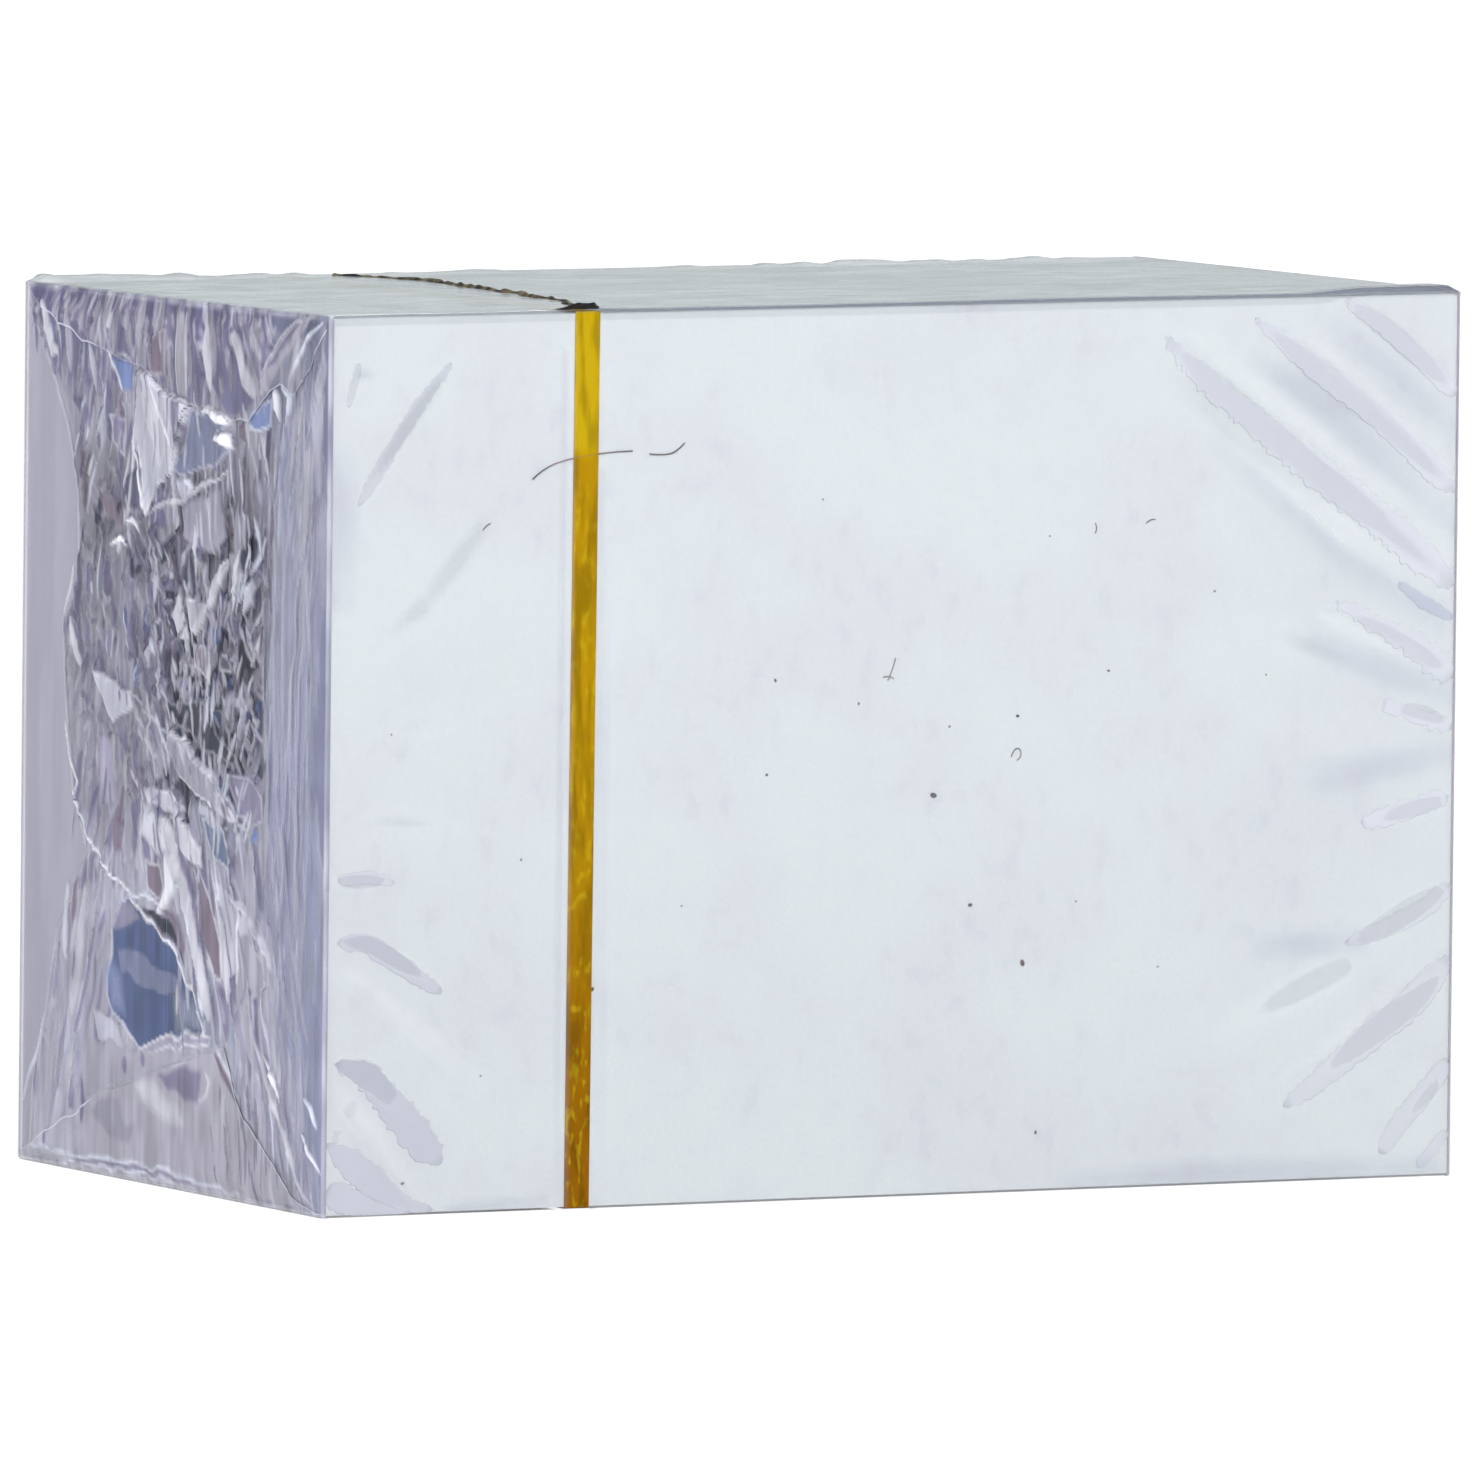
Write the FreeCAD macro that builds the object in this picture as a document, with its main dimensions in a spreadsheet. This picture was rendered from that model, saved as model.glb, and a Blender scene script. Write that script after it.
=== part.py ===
"""A sealed pack of loose index cards: the card stack, its tear tape and its clear film wrap.

The cards stand on a long edge. The frame has its origin at the middle of the base, with +X along
the cards' length, +Y from the front card to the back card and +Z up. All sizes are millimetres.
"""

import FreeCAD, Part  # noqa: E401  FreeCAD is imported before Part
import Sketcher
import math
import os

PARTS_FOLDER = "parts"
SEW_TOLERANCE = 1e-4
GOLDEN_TURN = 0.618034  # successive multiples of it never fall into step
SILVER_TURN = 0.414214
EIGHTH_TURN_INSET = 1 - math.sqrt(0.5)  # how far a bend's middle is inset, for a radius of 1

# One row for each driving dimension: alias, value, what it is.
DRIVING_SIZES = [
    ("card_length", 74.0, "length of a card"),
    ("card_height", 52.0, "height of a card as it stands"),
    ("card_thickness", 0.2, "thickness of a card"),
    ("bundle_count", 18, "bundles of inner cards between the two outer cards"),
    ("bundle_cards", 11, "cards in a bundle"),
    ("guillotine_draw", 0.4, "how much lower the last card was cut than the first"),
    ("card_jog", 0.1, "how far a loose card may stray along the stack"),
    ("tape_width", 1.6, "width of the tear tape"),
    ("tape_thickness", 0.05, "thickness of the tear tape"),
    ("tape_ease", 0.02, "clearance between the cards and the tear tape"),
    ("tape_place", 16.4, "tape's middle, from the left end of the cards"),
    ("tape_lean", 0.2, "lean of the tape in degrees"),
    ("film_thickness", 0.03, "thickness of the film"),
    ("film_ease", 0.03, "clearance between the tear tape and the film"),
    ("end_ease", 0.1, "clearance between the cards and the folded film at each end"),
    ("lap_width", 6.0, "overlap of the film's seam on the back"),
    ("lap_height", 23.0, "height of the seam's lower edge above the base"),
    ("lap_run", 0.8, "height over which the seam's edge fades out"),
    ("crease_rise", 1.1, "how far the tallest crease stands out of an end"),
    ("crease_spread", 1.5, "half of the width of a crease"),
    ("panel_columns", 32, "facets across a folded end"),
    ("panel_rows", 26, "facets up a folded end"),
]

# The creases of a folded end. Each has its rise, as a share of the tallest crease, and the points
# that it runs through, as shares of the end's depth and height from its lower front corner.
TOP_FLAP_EDGE = (0.75, [(0.86, 0.96), (0.63, 0.92), (0.47, 0.885), (0.33, 0.87), (0.19, 0.91)])
BOTTOM_FLAP_EDGE = (0.65, [(0.97, 0.03), (0.79, 0.07), (0.61, 0.12), (0.32, 0.17), (0.07, 0.02)])
LOWER_TUCK_EDGE = (0.75, [(0.85, 0.47), (0.77, 0.36), (0.62, 0.31), (0.46, 0.25), (0.32, 0.17)])
UPPER_TUCK_EDGE = (0.8, [(0.80, 0.59), (0.63, 0.54), (0.48, 0.505), (0.36, 0.47), (0.23, 0.42)])
HANGING_PLEAT = (1.0, [(0.63, 0.90), (0.54, 0.83), (0.59, 0.75)])
REAR_TUCK_EDGE = (0.4, [(0.94, 0.93), (0.86, 0.85), (0.82, 0.77), (0.83, 0.66), (0.86, 0.50)])
FRONT_TUCK_EDGE = (0.45, [(0.19, 0.72), (0.22, 0.60), (0.20, 0.34), (0.15, 0.26), (0.08, 0.12)])
FRONT_GATHERS = [
    (0.3, [(0.05, 0.10), (0.04, 0.50), (0.06, 0.90)]),
    (0.35, [(0.11, 0.24), (0.12, 0.60), (0.12, 0.85)]),
]
TOP_PLEATS = [
    (0.5, [(0.90, 0.90), (0.90, 0.97)]),
    (0.45, [(0.74, 0.93), (0.66, 0.97)]),
    (0.55, [(0.50, 0.90), (0.49, 0.97)]),
    (0.5, [(0.41, 0.88), (0.42, 0.97)]),
    (0.6, [(0.26, 0.89), (0.32, 0.96)]),
    (0.55, [(0.14, 0.94), (0.20, 0.92)]),
]
MIDDLE_PLEATS = [
    (0.7, [(0.76, 0.56), (0.74, 0.72), (0.70, 0.84)]),
    (0.8, [(0.69, 0.54), (0.66, 0.64), (0.67, 0.74)]),
    (0.9, [(0.60, 0.55), (0.57, 0.66), (0.62, 0.73)]),
    (0.7, [(0.52, 0.53), (0.50, 0.64), (0.46, 0.78)]),
    (0.85, [(0.44, 0.52), (0.43, 0.65), (0.38, 0.79)]),
    (0.75, [(0.35, 0.49), (0.34, 0.62), (0.31, 0.82)]),
    (0.6, [(0.27, 0.46), (0.27, 0.64), (0.25, 0.80)]),
]
LOWER_PLEATS = [
    (0.6, [(0.73, 0.40), (0.70, 0.48)]),
    (0.55, [(0.57, 0.36), (0.55, 0.47)]),
    (0.65, [(0.45, 0.28), (0.44, 0.42)]),
    (0.6, [(0.36, 0.22), (0.38, 0.38)]),
    (0.5, [(0.27, 0.22), (0.29, 0.36)]),
]
END_CREASES = [
    TOP_FLAP_EDGE,
    BOTTOM_FLAP_EDGE,
    LOWER_TUCK_EDGE,
    UPPER_TUCK_EDGE,
    HANGING_PLEAT,
    REAR_TUCK_EDGE,
    FRONT_TUCK_EDGE,
    *FRONT_GATHERS,
    *TOP_PLEATS,
    *MIDDLE_PLEATS,
    *LOWER_PLEATS,
]

doc = FreeCAD.newDocument("index_card_pack")
sheet = doc.addObject("Spreadsheet::Sheet", "Sizes")
for row, (alias, value, meaning) in enumerate(DRIVING_SIZES, start=1):
    sheet.set(f"A{row}", meaning)
    sheet.set(f"B{row}", str(value))
    sheet.setAlias(f"B{row}", alias)
doc.recompute()

CARD_COUNT = "(Sizes.bundle_count * Sizes.bundle_cards + 2)"
STACK_DEPTH = f"({CARD_COUNT} * Sizes.card_thickness)"
WRAP_GAP = "(Sizes.tape_ease + Sizes.tape_thickness + Sizes.film_ease)"
CARD_SEAT = f"(Sizes.film_thickness + {WRAP_GAP})"
TALLEST = "(Sizes.card_height + Sizes.card_jog)"


def worked_out(expression):
    """The number that an expression in the sheet's own names gives."""
    return float(sheet.evalExpression(expression))


def stray(index, turn):
    """A share from 0 to 1 that differs from card to card without a pattern."""
    return math.modf((index + 1) * turn)[0]


def add_card(name, index):
    """One card of the stack, counted from the front card, as a box of its own."""
    behind_front = f"{index} / ({CARD_COUNT} - 1)"
    card = doc.addObject("Part::Box", name)
    card.setExpression("Length", "Sizes.card_length")
    card.setExpression("Width", "Sizes.card_thickness")
    card.setExpression("Height", f"Sizes.card_height - Sizes.guillotine_draw * {behind_front}")
    aside = 2 * stray(index, GOLDEN_TURN) - 1
    card.setExpression(
        "Placement.Base.x", f"-Sizes.card_length / 2 + Sizes.card_jog * {aside:.4f}"
    )
    card.setExpression(
        "Placement.Base.y", f"Sizes.card_thickness * {index} - {STACK_DEPTH} / 2"
    )
    lifted = stray(index, SILVER_TURN)
    card.setExpression("Placement.Base.z", f"{CARD_SEAT} + Sizes.card_jog * {lifted:.4f}")
    card.Label = name
    return card


def add_bundle(number, first, count):
    """A bundle of inner cards, each a solid of its own, under one label."""
    cards = [add_card(f"card_{number:02d}_{k + 1:02d}", first + k) for k in range(count)]
    bundle = doc.addObject("Part::Compound", f"cards_{number:02d}")
    bundle.Links = cards
    bundle.Label = f"cards_{number:02d}"
    return bundle


def add_outline(sketch, corners):
    """A closed outline of straight edges whose corners are held by expressions of the sheet."""
    first = sketch.GeometryCount
    spots = [
        FreeCAD.Vector(worked_out(across), worked_out(up), 0) for across, up in corners
    ]
    for k, spot in enumerate(spots):
        following = spots[(k + 1) % len(spots)]
        sketch.addGeometry(Part.LineSegment(spot, following), False)
    for k in range(len(spots)):
        here = first + k
        after = first + (k + 1) % len(spots)
        join = Sketcher.Constraint("Coincident", here, 2, after, 1)
        sketch.addConstraint(join)
    for k, (across, up) in enumerate(corners):
        for kind, distance in (("DistanceX", across), ("DistanceY", up)):
            value = worked_out(distance)
            held = Sketcher.Constraint(kind, -1, 1, first + k, 1, value)
            number = sketch.addConstraint(held)
            sketch.setExpression(f"Constraints[{number}]", distance)


def ring_corners(clearance):
    """The eight corners of a ring round the stack, seen along X.

    The ring lies a clearance outside the tallest cards, and its top falls as the cards do. It
    turns round each edge of the stack at that clearance, and the bend is cut off straight.
    """
    front = f"(-{STACK_DEPTH} / 2 - {clearance})"
    back = f"({STACK_DEPTH} / 2 + {clearance})"
    low = f"({CARD_SEAT} - {clearance})"
    front_top = f"({CARD_SEAT} + {TALLEST} + {clearance})"
    back_top = f"({front_top} - Sizes.guillotine_draw)"
    return [
        (f"{front} + {clearance}", low),
        (f"{back} - {clearance}", low),
        (back, f"{low} + {clearance}"),
        (back, f"{back_top} - {clearance}"),
        (f"{back} - {clearance}", back_top),
        (f"{front} + {clearance}", front_top),
        (front, f"{front_top} - {clearance}"),
        (front, f"{low} + {clearance}"),
    ]


def add_tear_tape():
    """The tear tape, a closed band round the girth of the stack."""
    body = doc.addObject("PartDesign::Body", "tear_tape")
    plane = next(f for f in body.Origin.OriginFeatures if f.Role == "YZ_Plane")
    sketch = body.newObject("Sketcher::SketchObject", "tape_section")
    sketch.AttachmentSupport = [(plane, "")]
    sketch.MapMode = "FlatFace"
    doc.recompute()
    add_outline(sketch, ring_corners("(Sizes.tape_ease + Sizes.tape_thickness)"))
    add_outline(sketch, ring_corners("Sizes.tape_ease"))
    band = body.newObject("PartDesign::Pad", "tape_band")
    band.Profile = sketch
    band.setExpression("Length", "Sizes.tape_width")
    band.Midplane = True
    body.Tip = band
    body.Placement.Rotation = FreeCAD.Rotation(FreeCAD.Vector(0, 1, 0), 1)
    body.setExpression("Placement.Rotation.Angle", "Sizes.tape_lean")
    middle = f"({CARD_SEAT} + Sizes.card_height / 2)"
    leaned = f"{middle} * tan(Sizes.tape_lean)"
    body.setExpression(
        "Placement.Base.x", f"Sizes.tape_place - Sizes.card_length / 2 - {leaned}"
    )
    body.Label = "tear_tape"
    return body


class WrapSkin:
    """One face of the film, outer or inner, as flat facets that share their corners."""

    def __init__(self, inset):
        """Lay the skin out, an inset inside the film's outer face."""
        size = {alias: float(sheet.get(alias)) for alias, _, _ in DRIVING_SIZES}
        wall = size["film_thickness"]
        gap = worked_out(WRAP_GAP)
        half_depth = worked_out(STACK_DEPTH) / 2
        self.inset = inset
        self.depth = 2 * (half_depth + gap + wall)
        self.height = worked_out(f"{CARD_SEAT} + {TALLEST}") + gap + wall
        self.fall = size["guillotine_draw"]
        self.bend = gap + wall - inset
        self.rim = size["card_length"] / 2 + size["card_jog"] + size["end_ease"] + wall - inset
        self.rise = size["crease_rise"]
        self.spread = size["crease_spread"]
        self.lap_raise = wall if inset == 0 else 0.0
        self.size = size
        self.across = self.column_lines()
        self.up = self.row_lines()
        self.facets = []

    def column_lines(self):
        """Places of the grid's columns, from the front of the wrap to its back."""
        near = self.inset + self.bend
        far = self.depth - near
        count = int(self.size["panel_columns"])
        inner = [near + (far - near) * k / count for k in range(count + 1)]
        return [self.inset, *inner, self.depth - self.inset]

    def row_lines(self):
        """Places of the grid's rows, from the base up, with a row at each edge of the seam."""
        near = self.inset + self.bend
        far = self.height - self.fall - near
        lap_low = self.size["lap_height"]
        lap_high = lap_low + self.size["lap_width"]
        run = self.size["lap_run"]
        breaks = [near, lap_low - run, lap_low, lap_high, lap_high + run, far]
        step = (far - near) / int(self.size["panel_rows"])
        rows = [self.inset]
        for low, high in zip(breaks, breaks[1:]):
            count = max(1, round((high - low) / step))
            rows += [low + (high - low) * k / count for k in range(count)]
        return [*rows, far, self.height - self.fall - self.inset]

    def stand_out(self, share_deep, share_high):
        """How far the creases lift the film out of an end, at a place given in shares."""
        deep = share_deep * self.depth
        high = share_high * self.height
        lift = 0.0
        for rise, course in END_CREASES:
            spots = [(a * self.depth, b * self.height) for a, b in course]
            away = min(
                distance_to_run(deep, high, start, end) for start, end in zip(spots, spots[1:])
            )
            lift = max(lift, rise * self.rise * (1 - away / self.spread))
        return lift

    def corner(self, side, column, row):
        """The place of one grid corner on the left end (side -1) or the right end (side 1)."""
        last_column = len(self.across) - 1
        last_row = len(self.up) - 1
        deep = self.across[column]
        high = self.up[row]
        on_front_or_back = column in (0, last_column)
        on_base_or_top = row in (0, last_row)
        if on_front_or_back and on_base_or_top:
            corner_inset = EIGHTH_TURN_INSET * self.bend
            deep += corner_inset if column == 0 else -corner_inset
            high += corner_inset if row == 0 else -corner_inset
        share_deep = deep / self.depth
        outward = self.rim
        if not on_front_or_back and not on_base_or_top:
            from_front = share_deep if side < 0 else 1 - share_deep
            outward += self.stand_out(from_front, high / (self.height - self.fall))
        on_seam = self.size["lap_height"] <= high
        on_seam = on_seam and high <= self.size["lap_height"] + self.size["lap_width"]
        if column == last_column and on_seam:
            deep += self.lap_raise
        above_fall = self.fall * (1 - share_deep) * high / (self.height - self.fall)
        return FreeCAD.Vector(side * outward, deep - self.depth / 2, high + above_fall)

    def facet(self, *corners):
        """Add one flat facet, its corners in turn."""
        self.facets.append(Part.Face(Part.makePolygon([*corners, corners[0]])))

    def lay_end(self, side):
        """Add the facets of one folded end, two triangles to a grid cell."""
        grid = [
            [self.corner(side, column, row) for row in range(len(self.up))]
            for column in range(len(self.across))
        ]
        for column in range(len(self.across) - 1):
            for row in range(len(self.up) - 1):
                lower_front = grid[column][row]
                lower_back = grid[column + 1][row]
                upper_back = grid[column + 1][row + 1]
                upper_front = grid[column][row + 1]
                if (column + row) % 2:
                    self.facet(lower_front, lower_back, upper_back)
                    self.facet(lower_front, upper_back, upper_front)
                else:
                    self.facet(lower_front, lower_back, upper_front)
                    self.facet(lower_back, upper_back, upper_front)
        return grid

    def girth(self, grid):
        """The corners of an end's grid round its edge, in runs that each lie in one plane."""
        last_column = len(self.across) - 1
        last_row = len(self.up) - 1
        base = [grid[column][0] for column in range(1, last_column)]
        back = [grid[last_column][row] for row in range(1, last_row)]
        top = [grid[column][last_row] for column in range(last_column - 1, 0, -1)]
        front = [grid[0][row] for row in range(last_row - 1, 0, -1)]
        corners = [
            grid[last_column][0],
            grid[last_column][last_row],
            grid[0][last_row],
            grid[0][0],
        ]
        runs = []
        for side, corner, following in zip(
            (base, back, top, front), corners, (back, top, front, base)
        ):
            runs += self.plane_runs(side)
            runs += [[side[-1], corner], [corner, following[0]]]
        return runs

    def plane_runs(self, side):
        """Split one side's corners where the side leaves its plane."""
        runs = []
        run = side[:2]
        for spot in side[2:]:
            along = run[1] - run[0]
            if along.cross(spot - run[0]).Length < SEW_TOLERANCE * along.Length:
                run.append(spot)
            else:
                runs.append(run)
                run = [run[-1], spot]
        return [*runs, run]

    def lay_sleeve(self, left, right):
        """Add the flat facets of the sleeve between the two ends."""
        for near, far in zip(self.girth(left), self.girth(right)):
            self.facet(*near, *reversed(far))

    def solid(self):
        """The closed solid inside this skin."""
        left = self.lay_end(-1)
        right = self.lay_end(1)
        self.lay_sleeve(left, right)
        skin = Part.makeCompound(self.facets)
        skin.sewShape(SEW_TOLERANCE)
        block = Part.makeSolid(skin.Shells[0])
        if block.Volume < 0:
            block.reverse()
        return block


def distance_to_run(deep, high, start, end):
    """How far a place is from the straight run between two points."""
    run_deep = end[0] - start[0]
    run_high = end[1] - start[1]
    along = (deep - start[0]) * run_deep + (high - start[1]) * run_high
    share = min(1.0, max(0.0, along / (run_deep**2 + run_high**2)))
    return math.hypot(start[0] + share * run_deep - deep, start[1] + share * run_high - high)


def add_film_wrap():
    """The film wrap: a closed clear skin, folded over both ends of the stack."""
    outer = WrapSkin(0.0).solid()
    inner = WrapSkin(float(sheet.get("film_thickness"))).solid()
    film = doc.addObject("Part::Feature", "film_wrap")
    film.Shape = outer.cut(inner)
    film.Label = "film_wrap"
    film.Placement = FreeCAD.Placement()
    return film


def faults(part):
    """What is wrong with a finished sub-part, as a list of words."""
    found = [state for state in part.State if state in ("Invalid", "Error")]
    if part.isDerivedFrom("Part::Feature"):
        if part.Shape.isNull() or not part.Shape.isValid():
            found.append("bad shape")
    return found


front_card = add_card("front_card", 0)
bundles = []
bundle_cards = int(sheet.get("bundle_cards"))
for bundle_number in range(int(sheet.get("bundle_count"))):
    bundles.append(add_bundle(bundle_number + 1, 1 + bundle_number * bundle_cards, bundle_cards))
back_card = add_card("back_card", int(worked_out(CARD_COUNT)) - 1)
tear_tape = add_tear_tape()
film_wrap = add_film_wrap()
doc.recompute()

for made in doc.Objects:
    if faults(made):
        raise RuntimeError(f"{made.Name}: {faults(made)}")

sub_parts = [front_card, *bundles, back_card, tear_tape, film_wrap]
os.makedirs(PARTS_FOLDER, exist_ok=True)
for sub_part in sub_parts:
    sub_part.Shape.exportStep(f"{PARTS_FOLDER}/{sub_part.Label}.step")
    solids = sub_part.Shape.Solids
    volume = sum(solid.Volume for solid in solids)
    print(f"{sub_part.Label}: {len(solids)} solids, {volume:.1f} cubic millimetres")
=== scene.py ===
"""A sealed pack of blank index cards: the cards, their gold tear strip and the clear film round them."""

import logging
import math
from abc import ABC, abstractmethod
from dataclasses import dataclass
from enum import Enum
from typing import Any, Callable, Sequence

import bpy
import numpy as np
from mathutils import Matrix, Vector


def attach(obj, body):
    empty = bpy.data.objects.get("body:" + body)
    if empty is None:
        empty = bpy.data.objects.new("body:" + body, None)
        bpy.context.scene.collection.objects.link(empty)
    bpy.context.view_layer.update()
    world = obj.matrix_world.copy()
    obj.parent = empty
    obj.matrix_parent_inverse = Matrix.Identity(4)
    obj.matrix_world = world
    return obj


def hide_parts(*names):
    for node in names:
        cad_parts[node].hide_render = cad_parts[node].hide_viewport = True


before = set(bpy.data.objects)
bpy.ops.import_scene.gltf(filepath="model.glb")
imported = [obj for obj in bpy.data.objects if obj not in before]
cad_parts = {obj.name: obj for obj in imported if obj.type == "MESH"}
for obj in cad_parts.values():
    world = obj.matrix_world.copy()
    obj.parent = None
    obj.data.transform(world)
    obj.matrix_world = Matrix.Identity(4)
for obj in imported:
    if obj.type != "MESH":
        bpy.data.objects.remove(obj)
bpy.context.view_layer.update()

MM = 0.001
LOG = logging.getLogger("card_pack")

Grid = np.ndarray
Colour = tuple[float, float, float]
Place = tuple[float, float]
Spot = tuple[float, float, float]
Line = tuple[Place, ...]
Wall = tuple[Grid, list[tuple[int, ...]]]
Socket = bpy.types.NodeSocket


# ---------------------------------------------------------------- shader trees


def maths(operation: str, swapped: bool = False) -> Callable[..., "Signal"]:
    """Makes a method that sends a signal through one Math node.

    Args:
        operation: The node's operation.
        swapped: True if the other value comes first.

    Returns:
        The method.
    """

    def method(self: "Signal", other: Any = 0.0) -> "Signal":
        """Works with the signal and another value or signal."""
        sockets = {0: other, 1: self} if swapped else {0: self, 1: other}
        return Signal(self.tree, self.tree.add("ShaderNodeMath", sockets, operation=operation).outputs[0])

    return method


class Signal:
    """A number on its way through a node tree, with Python's own operators."""

    __add__, __radd__ = maths("ADD"), maths("ADD", True)
    __sub__, __rsub__ = maths("SUBTRACT"), maths("SUBTRACT", True)
    __mul__, __rmul__ = maths("MULTIPLY"), maths("MULTIPLY", True)
    __truediv__ = maths("DIVIDE")
    __pow__ = maths("POWER")
    __abs__ = maths("ABSOLUTE")
    __gt__ = maths("GREATER_THAN")
    larger = maths("MAXIMUM")

    def __init__(self, tree: "NodeTree", socket: Socket) -> None:
        """Keeps the tree that the number runs in and the socket it leaves from."""
        self.tree = tree
        self.socket = socket

    def between(self, low: float, high: float) -> "Signal":
        """Runs smoothly from 0 at one value to 1 at another.

        Args:
            low: Where the result is 0.
            high: Where the result is 1.

        Returns:
            The eased share.
        """
        sockets = {"Value": self, "From Min": low, "From Max": high}
        node = self.tree.add("ShaderNodeMapRange", sockets, interpolation_type="SMOOTHSTEP")
        return Signal(self.tree, node.outputs["Result"])


class NodeTree:
    """Builds a node tree."""

    def __init__(self, tree: bpy.types.NodeTree) -> None:
        """Empties the tree."""
        self.tree = tree
        self.tree.nodes.clear()

    def add(self, kind: str, sockets: dict[Any, Any], **settings: Any) -> bpy.types.Node:
        """Adds a node, sets it, and then fills or links its sockets.

        Args:
            kind: The node's type.
            sockets: Values, colours, signals or sockets by input name or number.
            **settings: The node's own settings.

        Returns:
            The node.
        """
        node = self.tree.nodes.new(kind)
        for name, value in settings.items():
            setattr(node, name, value)
        for name, value in sockets.items():
            target = node.inputs[name]
            if isinstance(value, Signal):
                value = value.socket
            if isinstance(value, Socket):
                self.tree.links.new(value, target)
            else:
                target.default_value = (*value, 1.0) if target.type == "RGBA" else value
        return node

    def read(self, kind: str, output: str, **settings: Any) -> Signal:
        """Gives one output of a node that has nothing to fill in."""
        return Signal(self, self.add(kind, {}, **settings).outputs[output])


class ShaderTree(NodeTree):
    """Builds the node tree of one material or world."""

    def __init__(self, owner: bpy.types.ID) -> None:
        """Empties the node tree of a material or world."""
        owner.use_nodes = True
        super().__init__(owner.node_tree)

    def part(self, vector: Socket, number: int) -> Signal:
        """Takes a vector's X for 0, its Y for 1 or its Z for 2."""
        return Signal(self, self.add("ShaderNodeSeparateXYZ", {0: vector}).outputs[number])

    def place(self, stretch: Sequence[float] = (1.0, 1.0, 1.0)) -> Socket:
        """Gives the piece's own coordinates in metres, with each axis multiplied by its stretch."""
        source = self.read("ShaderNodeTexCoord", "Object")
        return self.add("ShaderNodeMapping", {"Vector": source, "Scale": tuple(stretch)}).outputs["Vector"]

    def noise(self, scale: float, stretch: Sequence[float] = (1.0, 1.0, 1.0), detail: float = 2.0) -> Signal:
        """Gives soft random mottling.

        Args:
            scale: How many waves fit in a metre.
            stretch: What each axis is multiplied by first.
            detail: How many finer layers it has.

        Returns:
            Values round 0.5.
        """
        sockets = {"Vector": self.place(stretch), "Scale": scale, "Detail": detail}
        return Signal(self, self.add("ShaderNodeTexNoise", sockets).outputs[0])

    def told(self, name: str) -> Signal:
        """Gives a number that the mesh carries point by point."""
        return self.read("ShaderNodeAttribute", "Fac", attribute_name=name)

    def mix(self, share: Any, first: Any, second: Any) -> Socket:
        """Mixes two colours or colour sockets, by how much of the second."""
        return self.add("ShaderNodeMix", {0: share, 6: first, 7: second}, data_type="RGBA").outputs[2]

    def shaded(self, colour: Any, tone: Signal) -> Socket:
        """Multiplies a colour or colour socket by a number."""
        return self.add("ShaderNodeVectorMath", {0: colour, "Scale": tone}, operation="SCALE").outputs[0]

    def bump(self, strength: float, distance: float, height: Signal) -> Socket:
        """Turns heights into a bumpy normal."""
        sockets = {"Strength": strength, "Distance": distance, "Height": height}
        return self.add("ShaderNodeBump", sockets).outputs["Normal"]

    def body(self, colour: Any, roughness: Any, **sockets: Any) -> Socket:
        """Adds a Principled shader.

        Args:
            colour: Its Base Color.
            roughness: Its Roughness.
            **sockets: What its other sockets take, named with underscores for spaces.

        Returns:
            The shader's socket.
        """
        others = {name.replace("_", " "): value for name, value in sockets.items()}
        filled = {"Base Color": colour, "Roughness": roughness, **others}
        return self.add("ShaderNodeBsdfPrincipled", filled).outputs[0]

    def glow(self, colour: Any, strength: float) -> Socket:
        """Adds a shader that gives off light."""
        return self.add("ShaderNodeEmission", {"Color": colour, "Strength": strength}).outputs[0]

    def blend(self, share: Any, first: Socket, second: Socket) -> Socket:
        """Mixes two shaders, by how much of the second."""
        return self.add("ShaderNodeMixShader", {0: share, 1: first, 2: second}).outputs[0]


# -------------------------------------------------------------------- finishes


class Look(ABC):
    """A finish with a name and a shader of its own."""

    name: str

    @abstractmethod
    def shader(self, tree: ShaderTree) -> Socket:
        """Builds the finish's shader in a tree and gives its socket."""

    def material(self) -> bpy.types.Material:
        """Builds the finish.

        Returns:
            The material.
        """
        made = bpy.data.materials.new(self.name)
        tree = ShaderTree(made)
        tree.add("ShaderNodeOutputMaterial", {"Surface": self.shader(tree)})
        return made


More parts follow.
